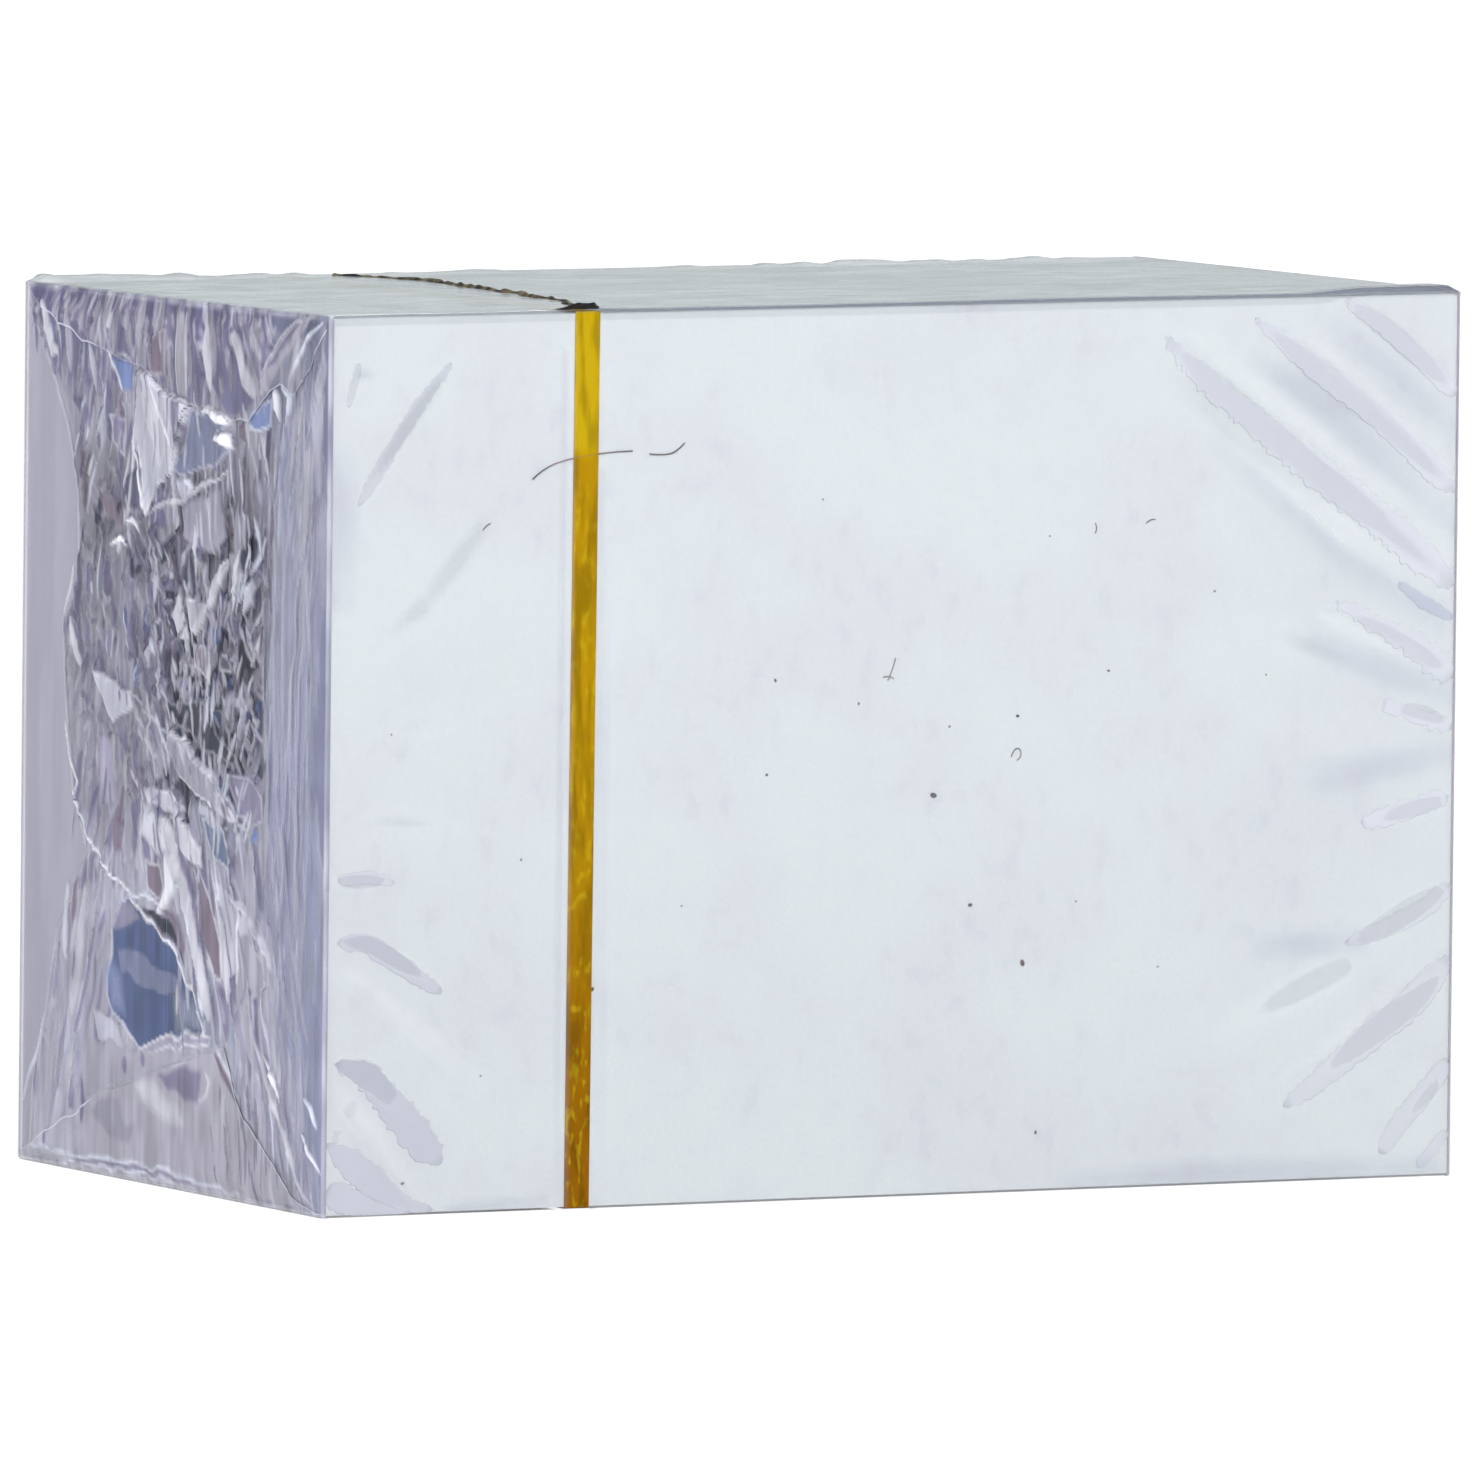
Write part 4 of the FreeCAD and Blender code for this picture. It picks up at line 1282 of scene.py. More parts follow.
STREAKS: tuple[Streak, ...] = (
    Streak(Tint.LAVENDER, ((19, 51.5), (19, 46.6)), 0.7, 0.8, 0.15, 0.9, 0.3),
    Streak(Tint.PALE, ((18.4, 51.5), (18.4, 46.8)), 0.12, 0.9, 0.05),
    Streak(Tint.PALE, ((15.8, 51.3), (15.8, 49.5), (15.2, 47)), 0.5, 0.85, 0.12, 0.8, 0.4),
    Streak(Tint.PALE, ((12.3, 51), (11, 49), (9.4, 47)), 0.42, 0.8, 0.12, 0.7, 0.4),
    Streak(Tint.LAVENDER, ((2.5, 52), (4, 51.2), (6, 49.8), (7.5, 48.5), (8.8, 47.2)), 0.75, 0.8, 0.12, 0.6,
           0.4),
    Streak(Tint.VIOLET, ((3.5, 51.8), (5.5, 50.2), (7.5, 48.8)), 0.22),
    Streak(Tint.BRIGHT, ((1, 51.8), (3, 50.3), (4.5, 48.5)), 0.2),
    Streak(Tint.VIOLET, ((20.5, 51.3), (20.5, 49.8)), 0.35),
    Streak(Tint.PALE, ((27.8, 51.2), (28.6, 50)), 0.3, 0.85, 0.1, 0.6),
    Streak(Tint.PURPLE, ((38.5, 51), (38.5, 48)), 0.25),
    Streak(Tint.PURPLE, ((36.6, 51.5), (36.4, 50)), 0.3),
    Streak(Tint.PURPLE, ((34.8, 51.4), (34.7, 47.6)), 0.32, 0.85, 0.08, 0.5),
    Streak(Tint.VIOLET, ((33.2, 47.5), (33.2, 45.5)), 0.3),
    Streak(Tint.VIOLET, ((31.6, 47), (31.6, 45.3)), 0.3),
    Streak(Tint.PALE, ((37.5, 51.6), (36.6, 49.8), (35.3, 48)), 0.45, 0.85, 0.12, 0.7),
    Streak(Tint.LAVENDER, ((34, 51.3), (33.7, 47.3)), 0.35, 0.85, 0.1, 0.6),
    Streak(Tint.MIST, ((31.5, 49.4), (30.8, 48), (30.2, 46.3)), 0.35, 0.85, 0.1, 0.7),
    Streak(Tint.BRIGHT, ((28.7, 48.7), (26.8, 46.6)), 0.22, 0.9),
    Streak(Tint.VIOLET, ((19.4, 46.4), (19.2, 44.6)), 0.38, 0.85, 0.0),
    Streak(Tint.WHITE, ((22.6, 47.2), (20.8, 45), (19.6, 43.6)), 0.12, 0.8),
    Streak(Tint.WHITE, ((25.3, 43.6), (24.4, 41.8), (23.5, 39.6)), 0.1, 0.8),
    Streak(Tint.BRIGHT, ((6, 48), (4.5, 47.5), (4.7, 46.4)), 0.16, 0.9),
    Streak(Tint.BRIGHT, ((18.5, 41.8), (17, 41)), 0.12, 0.9),
    Streak(Tint.PALE, ((23, 39.6), (20, 40.4), (17, 41.2), (15, 42), (12.8, 42.6)), 0.16, 0.85, 0.12),
    Streak(Tint.WHITE, ((28, 37.6), (27, 37.8), (26, 37.3)), 0.16, 0.9, 0.12),
    Streak(Tint.WHITE, ((25.8, 39), (25, 39.2), (24.2, 38.6)), 0.2, 0.9, 0.12),
    Streak(Tint.BRIGHT, ((30.9, 35), (30.5, 34.6)), 0.2, 0.9),
    Streak(Tint.PALE, ((33.5, 32.8), (32, 30)), 0.3, 0.8, 0.1, 0.5),
    Streak(Tint.PALE, ((15.2, 34.6), (17.2, 32.9)), 0.3, 0.85, 0.1, 0.4),
    Streak(Tint.PALE, ((12.6, 37.6), (14, 36), (14.6, 34.5)), 0.4, 0.85, 0.15, 0.7),
    Streak(Tint.PALE, ((11, 38), (11.7, 36.6), (12, 35.3)), 0.35, 0.85, 0.15, 0.7),
    Streak(Tint.MIST, ((9, 36.5), (10.4, 34.5)), 0.35, 0.85, 0.12, 0.7),
    Streak(Tint.BLACK, ((25.2, 36.8), (25.2, 35.6)), 0.22, 0.9),
    Streak(Tint.NAVY, ((26, 34), (25.5, 31.2)), 0.24, 0.9, 0.05, 0.6),
    Streak(Tint.BLUE, ((24.6, 31), (24.4, 29.2)), 0.2, 0.9, 0.05, 0.6),
    Streak(Tint.NAVY, ((23.5, 33.8), (23.5, 32)), 0.22, 0.9),
    Streak(Tint.DARK, ((20.8, 35), (19.4, 32.4)), 0.26, 0.9, 0.05, 0.6),
    Streak(Tint.PURPLE, ((32.5, 34.8), (32.5, 33.3)), 0.25, 0.85),
    Streak(Tint.PURPLE, ((31.3, 36), (31.3, 34.6)), 0.25, 0.85),
    Streak(Tint.VIOLET, ((34.2, 32.7), (34.2, 31.8)), 0.25, 0.85),
    Streak(Tint.VIOLET, ((28.3, 32.7), (28.3, 30.8)), 0.35, 0.85, 0.08, 0.5),
    Streak(Tint.VIOLET, ((31.3, 32.8), (31.3, 31.5)), 0.3, 0.85),
    Streak(Tint.WHITE, ((34.4, 33), (33.8, 34.6), (33.3, 36)), 0.1, 0.7),
    Streak(Tint.MIST, ((30, 30), (24.5, 28.5), (22.5, 27.6), (19.5, 26.6), (16.5, 26), (12, 23.5), (9, 21)),
           0.08, 0.75, 0.08, 0.0, 0.2),
    Streak(Tint.PURPLE, ((26, 26.4), (26, 25.2)), 0.25),
    Streak(Tint.VIOLET, ((20, 25), (20, 23.2)), 0.3),
    Streak(Tint.BLUE, ((8.7, 22), (8.7, 21.3)), 0.25, 0.9),
    Streak(Tint.PALE, ((20.5, 21.8), (18, 18.3), (16.2, 15), (14.4, 10.4)), 0.85, 0.85, 0.2, 0.7, 0.4),
    Streak(Tint.BRIGHT, ((20.8, 21), (18.4, 17.8), (16.8, 14.8), (15.2, 10.6)), 0.2, 0.85, 0.1),
    Streak(Tint.VIOLET, ((19, 21.5), (17, 18), (15.2, 14.6)), 0.22, 0.8, 0.0),
    Streak(Tint.PALE, ((13.7, 18), (12.8, 15), (12, 11.5)), 0.4, 0.85, 0.14, 0.7),
    Streak(Tint.MIST, ((12, 18), (9.5, 17), (7.5, 15.5), (6.3, 14)), 0.35, 0.85, 0.14, 0.7),
    Streak(Tint.WHITE, ((10.8, 17), (11, 15), (11, 13)), 0.1, 0.8),
    Streak(Tint.WHITE, ((34, 26.5), (33.4, 24.5), (32.2, 23), (33, 22.4), (31, 20), (28, 18), (25, 17),
           (21.5, 15.1), (19.5, 14), (17, 12), (15, 9.5)), 0.07, 0.85, 0.10, 0.0, 0.15),
    Streak(Tint.BRIGHT, ((25, 17), (23, 17.1), (21, 16.8), (20.8, 16.2)), 0.1, 0.9, 0.05, 0.0, 0.3),
    Streak(Tint.VIOLET, ((25.8, 7.5), (25.8, 6.4)), 0.4, 0.85, 0.0),
    Streak(Tint.VIOLET, ((23.3, 7.9), (23.3, 6.8)), 0.38, 0.85, 0.0),
    Streak(Tint.MAUVE, ((20.5, 8.1), (20.5, 7.4)), 0.26, 0.8, 0.0),
    Streak(Tint.MAUVE, ((18.7, 8.6), (18.7, 8)), 0.22, 0.8, 0.0),
    Streak(Tint.PALE, ((33.8, 17), (33.5, 12.5)), 0.5, 0.75, 0.12, 0.3),
    Streak(Tint.PALE, ((31, 17), (31.8, 13), (32.5, 9)), 0.55, 0.75, 0.12, 0.3),
    Streak(Tint.VIOLET, ((32.4, 13), (32.4, 11.4)), 0.3, 0.85),
    Streak(Tint.PURPLE, ((31.3, 5.6), (31.2, 3.2)), 0.35, 0.85),
    Streak(Tint.VIOLET, ((37.5, 6), (37.6, 4.2)), 0.25, 0.85),
    Streak(Tint.VIOLET, ((36.2, 2), (36.2, 1)), 0.25, 0.85),
    Streak(Tint.BRIGHT, ((39.5, 3.5), (38, 6.2), (36.3, 9.3)), 0.14, 0.8, 0.1),
    Streak(Tint.WHITE, ((7.2, 9), (6.2, 8), (5, 6.5)), 0.16, 0.85, 0.12),
    Streak(Tint.BRIGHT, ((2, 6.8), (1.2, 6.3), (0.5, 5.3)), 0.2, 0.85, 0.12),
    Streak(Tint.WHITE, ((2.2, 5), (1.4, 3.6), (0.3, 2.6)), 0.16, 0.85, 0.12),
    Streak(Tint.BRIGHT, ((6.4, 6.2), (6, 3)), 0.16, 0.85, 0.1),
    Streak(Tint.PALE, ((9.5, 12), (7.5, 8.5), (4, 3.5), (1.5, 0.6)), 0.22, 0.8, 0.12),
    Streak(Tint.BROWN, ((13.6, 8.4), (12.2, 7), (10.8, 5.8)), 0.28, 0.85),
    Streak(Tint.BRIGHT, ((13.4, 8.6), (11.8, 7.4), (10.5, 6)), 0.12, 0.9),
    Streak(Tint.PALE, ((14.8, 7.4), (14.2, 6.8), (14.6, 6), (15.6, 5.4)), 0.16, 0.85),
    Streak(Tint.BRIGHT, ((38, 0.9), (30, 1.1), (20.5, 1.1), (15, 0.8), (10.5, 0.3)), 0.12, 0.85, 0.1),
    Streak(Tint.BRIGHT, ((34, 0.55), (25, 0.65), (18, 0.5)), 0.1, 0.85, 0.08),
    Streak(Tint.VIOLET, ((32, 0.85), (22, 0.9), (14, 0.5)), 0.12, 0.8, 0.0),
)


@dataclass(frozen=True)
class FilmEnd:
    """The envelope fold at one end: two crumpled tucks under a top flap and a bottom flap."""

    maker: Maker
    end: End
    columns: int = 290
    rows: int = 300
    patches: tuple[Patch, ...] = PATCHES
    streaks: tuple[Streak, ...] = STREAKS
    stand: float = 37.22
    front: float = -20.15
    rear: float = 20.18
    top_front: float = 52.38
    top_rear: float = 51.98
    bend: float = 0.18
    film: float = 0.03
    seed: int = 5

    @property
    def depth(self) -> float:
        """Gives the end's size from front to back."""
        return self.rear - self.front

    def spaced(self, span: float, count: int) -> tuple[Grid, Grid]:
        """Spaces places across the end, round its two bent borders.

        Args:
            span: The end's size.
            count: How many places lie between the bends.

        Returns:
            The places and how far each bend falls back.
        """
        turn = np.radians(np.linspace(0, 90, 6))[:-1]
        place = self.bend * (1 - np.cos(turn))
        fall = self.bend * (1 - np.sin(turn))
        middle = np.linspace(self.bend, span - self.bend, count)
        return (
            np.concatenate([place, middle, span - place[::-1]]),
            np.concatenate([fall, np.zeros(count), fall[::-1]]),
        )

    def lay_ground(self, sheet: Sheet, gap: Grid) -> None:
        """Gives the film its soft swells and its painted reflection and shade, zone by zone, near black in
        its deep core.

        Args:
            sheet: The film over the end.
            gap: How far behind the smooth strip's crease each place is.
        """
        u, v = sheet.wide, sheet.tall
        slow, streak = Heights(self.seed + 3), Heights(self.seed + 4)
        centre = fading(gap, -1.0, 0.1)
        front = fading(u, 6.0, 9.5)
        shaded_core = fading(np.hypot((u - 16) / 10, (v - 31) / 11.5), 0.7, 1.25)
        # Painted shade: mauve over the middle, grey higher up, near black in the deep core, purple under the
        # top flap, lavender low down and dark blue along the front.
        sheet.paint(centre, Tint.MAUVE, 0.6)
        sheet.paint(centre * eased(v, 34.0, 39.0), Tint.GREY, 0.75)
        sheet.paint(centre * shaded_core, Tint.BLACK, 0.92)
        sheet.paint(centre * eased(v, 45.5, 47.5), Tint.PURPLE, 0.85)
        sheet.paint(centre * fading(v, 17.0, 21.0), Tint.LAVENDER, 0.6)
        sheet.paint(front, Tint.FRONT, 0.62)
        ribs = streak.at(u / 1.5 + 3, v / 22 + 8) * 0.08 + streak.at(u / 0.6 + 33, v / 11 + 8) * 0.03
        swells = slow.at(u / 9 + 5, v / 16 + 5) * 0.20 + slow.at(u / 3 + 15, v / 9 + 5) * 0.04
        sheet.height += swells * (0.15 + 0.85 * centre) + ribs * front
        sheet.layers += 0.5 * eased(slow.at(u / 2.2 + 55, v / 5.0 + 5), 0.35, 0.7) * centre

    def paint_deep_shade(self, sheet: Sheet) -> None:
        """Paints shade over the slivers in the deep middle, and a little in front of it, by darkening their
        tints.

        Args:
            sheet: The film over the end.
        """
        behind_front = eased(sheet.wide, 5.5, 9.0)
        deep = eased(sheet.tall, 19.0, 25.0) * fading(sheet.tall, 42.0, 46.0) * behind_front
        sheet.tint *= (1 - 0.4 * deep)[..., None]
        sheet.tint *= (1 - 0.10 * eased(sheet.tall, 24.0, 34.0) * (1 - behind_front))[..., None]

    def calm_rear(self, sheet: Sheet, gap: Grid) -> None:
        """Draws the film tight and smooth again over the rear of the end, behind one crisp crease, under
        painted lavender shade and with a painted highlight along the crease.

        Args:
            sheet: The film over the end.
            gap: How far behind the crease each place is.
        """
        u, v = sheet.wide, sheet.tall
        slow = Heights(self.seed + 6)
        calm = eased(gap, -0.2, 0.25)
        sheet.height += (0.05 + slow.at(u / 4 + 2, v / 16 + 2) * 0.05 - sheet.height) * calm
        rubbed = eased(slow.at(u / 1.6 + 9, v / 12 + 9), 0.35, 0.75)
        # Painted lavender shade over the calm rear.
        sheet.paint(calm, np.array(Tint.LAVENDER.value) * (1.03 - 0.10 * rubbed[..., None]), 0.62)
        # A painted highlight along the crease.
        crease = fading(np.abs(gap + 0.05), 0.05, 0.22)
        sheet.height += 0.08 * crease
        sheet.paint(crease * 0.55, Tint.PALE, 0.8)

    def finish_borders(self, sheet: Sheet) -> None:
        """Presses the film down to the end's four borders, and paints highlights along the bends at its
        front, bottom and top.

        Args:
            sheet: The film over the end.
        """
        u, v = sheet.wide, sheet.tall
        slow = Heights(self.seed + 7)
        side = np.minimum(u, self.depth - u)
        sheet.height *= eased(np.minimum(side, np.minimum(v, TOP - v)), 0.1, 1.4)
        # Painted highlights along the front, bottom and top bends.
        bright = fading(np.abs(u - 0.14), 0.06, 0.2) * (0.25 + 0.55 * slow.at(u + 3, v / 3))
        sheet.paint(bright, Tint.WHITE, 0.75)
        sheet.paint(fading(np.abs(v - 0.14), 0.05, 0.2) * 0.6, Tint.PALE, 0.7)
        high = fading(np.abs(TOP - 0.16 - v), 0.06, 0.3) * slow.at(u / 0.8 + 3, v)
        sheet.paint(high * 0.8, Tint.PALE, 0.7)

    def add_hairs(self, sheet: Sheet, gap: Grid) -> None:
        """Streaks the tint with hair-fine lines, strongest in front of the smooth strip.

        Args:
            sheet: The film over the end.
            gap: How far behind the strip's crease each place is.
        """
        u, v = sheet.wide, sheet.tall
        grain = Heights(self.seed + 9)
        hairs = grain.at(u / 0.35 + 5, v / 5 + 5) + grain.at(u / 0.9 + 5, v / 2.0 + 60) - 1
        sheet.tint *= (1 + hairs * (0.06 + 0.26 * fading(gap, -0.8, 0.2)))[..., None]

    def lay(self) -> tuple[Sheet, Grid]:
        """Folds and crumples the film over the end, and paints its reflections, highlights and shade.

        Returns:
            The sheet and how far its bent borders fall back.
        """
        u, fall_u = self.spaced(self.depth, self.columns)
        v, fall_v = self.spaced(TOP, self.rows)
        sheet = Sheet(u, v)
        strip = np.array(SMOOTH_FROM)
        gap = sheet.wide - np.interp(sheet.tall, strip[:, 1], strip[:, 0])
        draw = np.random.default_rng(self.seed + 20)
        self.lay_ground(sheet, gap)
        for thicket in THICKETS:
            thicket.grow(sheet, draw)
        self.paint_deep_shade(sheet)
        self.calm_rear(sheet, gap)
        for patch in self.patches:
            patch.lay(sheet)
        for scratches in SCRATCHES:
            scratches.grow(sheet, draw)
        for streak in self.streaks:
            streak.lay(sheet)
        self.finish_borders(sheet)
        self.add_hairs(sheet, gap)
        return sheet, np.minimum(fall_u[:, None] + fall_v[None, :], self.bend * 1.6)

    def wall(self, name: str, u: Grid, v: Grid, off: Grid, told: dict[str, Grid]) -> None:
        """Makes one thin sheet of the end in the pack's own frame.

        Args:
            name: The piece's name.
            u: Depths from this end's own front.
            v: Heights on the level sheet, which are fitted to the pack's sloping top.
            off: Distances from the pack's middle.
            told: The layers of film, paint_cover and painted tint at each place.
        """
        left = self.end is End.LEFT
        rise = (self.top_rear - self.top_front) * u / self.depth
        z = v * (self.top_front + rise if left else self.top_rear - rise) / TOP
        y = self.front + u if left else self.rear - u
        skins = (np.stack([self.end.value * x, y, z], axis=-1) for x in (off, off - self.film))
        self.maker.film(f"{name}_{self.end.name.lower()}", film_wall(*skins), twice(told))

    def build_tucks(self, sheet: Sheet, fall: Grid) -> None:
        """Makes the front and rear tucks, which share one seam.

        Args:
            sheet: The film over the end.
            fall: How far its bent borders fall back.
        """
        off = self.stand + sheet.height - fall
        told = {"layers": sheet.layers, "paint_cover": np.clip(sheet.paint_cover, 0, 0.98), "tint": sheet.tint}
        seam = sheet.u.size // 2
        for label, cut in (("film_front_tuck", slice(0, seam + 1)), ("film_rear_tuck", slice(seam, None))):
            numbers = {name: grid[cut] for name, grid in told.items()}
            self.wall(label, sheet.wide[cut], sheet.tall[cut], off[cut], numbers)

    def build_flap(self, label: str, edge: Line, root: float, sheet: Sheet, rows: int = 48) -> None:
        """Makes the flap that is folded down from the top or up from the bottom.

        Args:
            label: The piece's name.
            edge: Its free edge, from front to back.
            root: The height where it is bent over.
            sheet: The film that it lies on.
            rows: How many rows it has.
        """
        chosen = np.flatnonzero((sheet.u > 0.45) & (sheet.u < self.depth - 0.45))
        depths = sheet.u[chosen]
        free = follow(edge, depths) + (Heights(self.seed + 10).along(depths / 1.4 + 4, 8) - 0.5) * 0.25
        free = np.minimum(free, root - 0.05) if root > CARD_HEIGHT / 2 else np.maximum(free, root + 0.05)
        share = np.linspace(0, 1, rows) ** 0.9
        u = np.broadcast_to(depths[:, None], (depths.size, rows))
        v = root + (free[:, None] - root) * share[None, :]

        def read(grid: Grid) -> Grid:
            """Reads one of the sheet's grids under the flap."""
            return np.stack([np.interp(row, sheet.v, grid[column]) for row, column in zip(v, chosen)])

        fade = eased(np.minimum(u, self.depth - u), 0.4, 2.4)
        rise = eased(share, 0.0, 0.12)[None, :] * (0.03 + 0.04 * share[None, :])
        # A painted highlight along the flap's free edge, where the ridge also lifts it a little.
        glint = 0.25 + 0.75 * eased(Heights(self.seed + 12).along(depths / 2.6 + 4, 3), 0.35, 0.75)
        ridge = fading(np.abs(v - free[:, None]), 0.03, 0.13) * glint[:, None]
        off = self.stand + read(sheet.height) + 0.02 + rise * fade + 0.025 * ridge * fade
        paint_cover = np.clip(read(sheet.paint_cover), 0, 0.96)
        # Paints the highlight on the ridge in the bright tint.
        paint_cover = paint_cover + (0.85 - paint_cover) * ridge * 0.8
        tint = np.stack([read(sheet.tint[..., band]) for band in range(3)], axis=-1)
        tint = tint + (np.array(Tint.BRIGHT.value) - tint) * ridge[..., None]
        self.wall(label, u, v, off, {"layers": np.full(u.shape, 0.9), "paint_cover": paint_cover, "tint": tint})

    def build(self) -> None:
        """Makes the end's two tucks and two flaps."""
        sheet, fall = self.lay()
        self.build_tucks(sheet, fall)
        self.build_flap("film_top_flap", TOP_FLAP_EDGE, 52.15, sheet)
        self.build_flap("film_bottom_flap", BOTTOM_FLAP_EDGE, 0.2, sheet)


# The ribbons stay on the front card's face.
CARD_ALONG: Place = (-37.05, 37.05)
CARD_UP: Place = (0.12, 52.1)


@dataclass(frozen=True)
class ShadedCling:
    """A crisp-edged ribbon where a wrinkle's flank clings to the card, along a line on the front, in a flat
    tint that is painted shade for the flank's dimmer reflection.

    Its half widths are spaced evenly along it. Its tips are blunter for a smaller blunt.
    """

    line: Line
    half: tuple[float, ...]
    tint: Colour = (0.865, 0.885, 0.93)
    paint_cover: float = 0.85
    ragged: float = 0.05
    blunt: float = 0.35

    def route(self) -> tuple[Grid, Grid]:
        """Rounds the line's corners off.

        Returns:
            Places along the ribbon, and the share of its length at each.
        """
        corners = np.array(self.line, float)
        runs = np.concatenate([[0], np.cumsum(np.hypot(*(corners[1:] - corners[:-1]).T))])
        stations = max(24, int(runs[-1] / 0.12))
        step = np.linspace(0, runs[-1], stations)
        middle = np.stack([np.interp(step, runs, corners[:, axis]) for axis in (0, 1)], axis=-1)
        weight = np.hanning(max(5, stations // 4) | 1)
        weight /= weight.sum()
        reach = len(weight) // 2
        for axis in (0, 1):
            start, end = middle[0, axis], middle[-1, axis]
            before = 2 * start - middle[reach:0:-1, axis]
            after = 2 * end - middle[-2:-reach - 2:-1, axis]
            middle[:, axis] = np.convolve(np.concatenate([before, middle[:, axis], after]), weight, "valid")
        return middle, step

    def skins(self, number: int, face: float, film: float) -> tuple[Grid, Grid, Grid]:
        """Draws the ribbon.

        Args:
            number: The ribbon's place in the list, which sets its ragged border.
            face: Where its outside lies.
            film: Its thickness.

        Returns:
            Points of its outside and inside skins, and its paint_cover at each.
        """
        middle, step = self.route()
        ahead = np.gradient(middle, axis=0)
        ahead /= np.hypot(*ahead.T)[:, None]
        aside = np.stack([-ahead[:, 1], ahead[:, 0]], axis=-1)
        share = step / step[-1]
        to_tip = np.minimum(share, 1 - share)
        half = np.interp(share, np.linspace(0, 1, len(self.half)), self.half)
        half = half * np.clip(to_tip / 0.12, 0, 1) ** self.blunt + 0.01
        noise = Heights(60 + number)
        across = np.array([-1.0, -0.93, -0.6, 0.0, 0.6, 0.93, 1.0])
        jag = np.stack([noise.along(step / 0.22 + 7, 3), noise.along(step / 0.22 + 40, 9)]) - 0.5
        jag = (jag * self.ragged * 4 * half.max() ** 0.3)[:, :, None]
        out = half[:, None] * across[None, :] + np.where(across < 0, jag[0], jag[1]) * np.abs(across)
        x, z = (middle[:, axis, None] + out * aside[:, axis, None] for axis in (0, 1))
        x, z = np.clip(x, *CARD_ALONG), np.clip(z, *CARD_UP)
        outer, inner = (np.stack([x, np.full(x.shape, y), z], axis=-1) for y in (face, face + film))
        tips = eased(to_tip, 0.0, 0.06)[:, None]
        paint_cover = self.paint_cover * (1 - 0.55 * (np.abs(across) > 0.97))[None, :] * (0.6 + 0.4 * tips)
        return outer, inner, paint_cover


# Each ribbon's tint is painted shade for the dimmer reflection along a wrinkle's flank.
SHADED_CLINGS: tuple[ShadedCling, ...] = (
    ShadedCling(((17.5, 50), (20, 47.5), (23.5, 45), (27.5, 42), (32, 39), (37, 35)), (0.5, 0.75, 0.9, 1.0, 1.05,
          1.0), ragged=0.09),
    ShadedCling(((33.3, 35.2), (35, 34), (37, 33)), (0.25, 0.4, 0.3), (0.68, 0.72, 0.80)),
    ShadedCling(((23.5, 51), (27.5, 48), (32, 45), (37, 40.5)), (0.35, 0.7, 0.8, 0.75)),
    ShadedCling(((29.5, 52), (32.5, 50), (35, 48), (37, 46.2)), (0.35, 0.5, 0.55, 0.6)),
    ShadedCling(((29, 34.2), (32, 32.7), (34.5, 31.5), (37, 29.5)), (0.3, 0.5, 0.8, 0.9), ragged=0.12),
    ShadedCling(((32.3, 28), (35, 27.3), (37, 26.5)), (0.35, 0.45, 0.5), ragged=0.14),
    ShadedCling(((31, 21), (33, 21.5), (36.8, 22.5)), (0.4, 0.6, 0.5), ragged=0.08),
    ShadedCling(((30, 14), (32.5, 14.7), (35.5, 16), (37, 17.3)), (0.3, 0.55, 0.6, 0.5), (0.815, 0.835, 0.865)),
    ShadedCling(((26, 4.5), (28.5, 6), (31.5, 8.3), (34.5, 10.3), (37, 13)), (0.45, 0.7, 0.9, 0.95, 0.7),
          (0.815, 0.835, 0.865)),
    ShadedCling(((32.5, 1.5), (34, 3.5), (36, 5.5), (37, 7)), (0.5, 0.65, 0.65, 0.5), (0.815, 0.835, 0.865)),
    ShadedCling(((35, 0.6), (36, 1.6), (37, 2.7)), (0.3, 0.35, 0.3), (0.815, 0.835, 0.865)),
    ShadedCling(((-29.3, 49.5), (-31.5, 47), (-33.5, 44), (-35.3, 41.3)), (0.2, 0.4, 0.4, 0.3),
          (0.81, 0.825, 0.87), 0.6),
    ShadedCling(((-35.3, 49.6), (-35.6, 48.4), (-36, 47)), (0.2, 0.25, 0.2), (0.81, 0.825, 0.87), 0.6),
    ShadedCling(((-36.4, 19.6), (-34.5, 19.8), (-32.7, 19.4)), (0.3, 0.4, 0.25), (0.78, 0.79, 0.84)),
    ShadedCling(((-36.4, 16), (-34.5, 16), (-32.5, 14.7), (-29.6, 12.9)), (0.45, 0.6, 0.55, 0.3),
          (0.73, 0.745, 0.80)),
    ShadedCling(((-36.5, 9), (-34.5, 8.4), (-32.6, 6.3), (-30.8, 4.3), (-29.5, 3)), (0.4, 0.8, 1.0, 1.05, 0.8),
          (0.70, 0.715, 0.78), ragged=0.08),
    ShadedCling(((-37, 4.4), (-35.4, 3.2), (-33.6, 1.8), (-31.6, 0.6), (-30, 0.3)), (0.3, 0.9, 0.9, 0.5, 0.2),
          (0.72, 0.735, 0.80)),
    ShadedCling(((-37, 1.6), (-35.5, 1.0), (-34, 0.5), (-31.5, 0.25)), (0.9, 0.8, 0.4, 0.15),
          (0.74, 0.755, 0.82)),
)


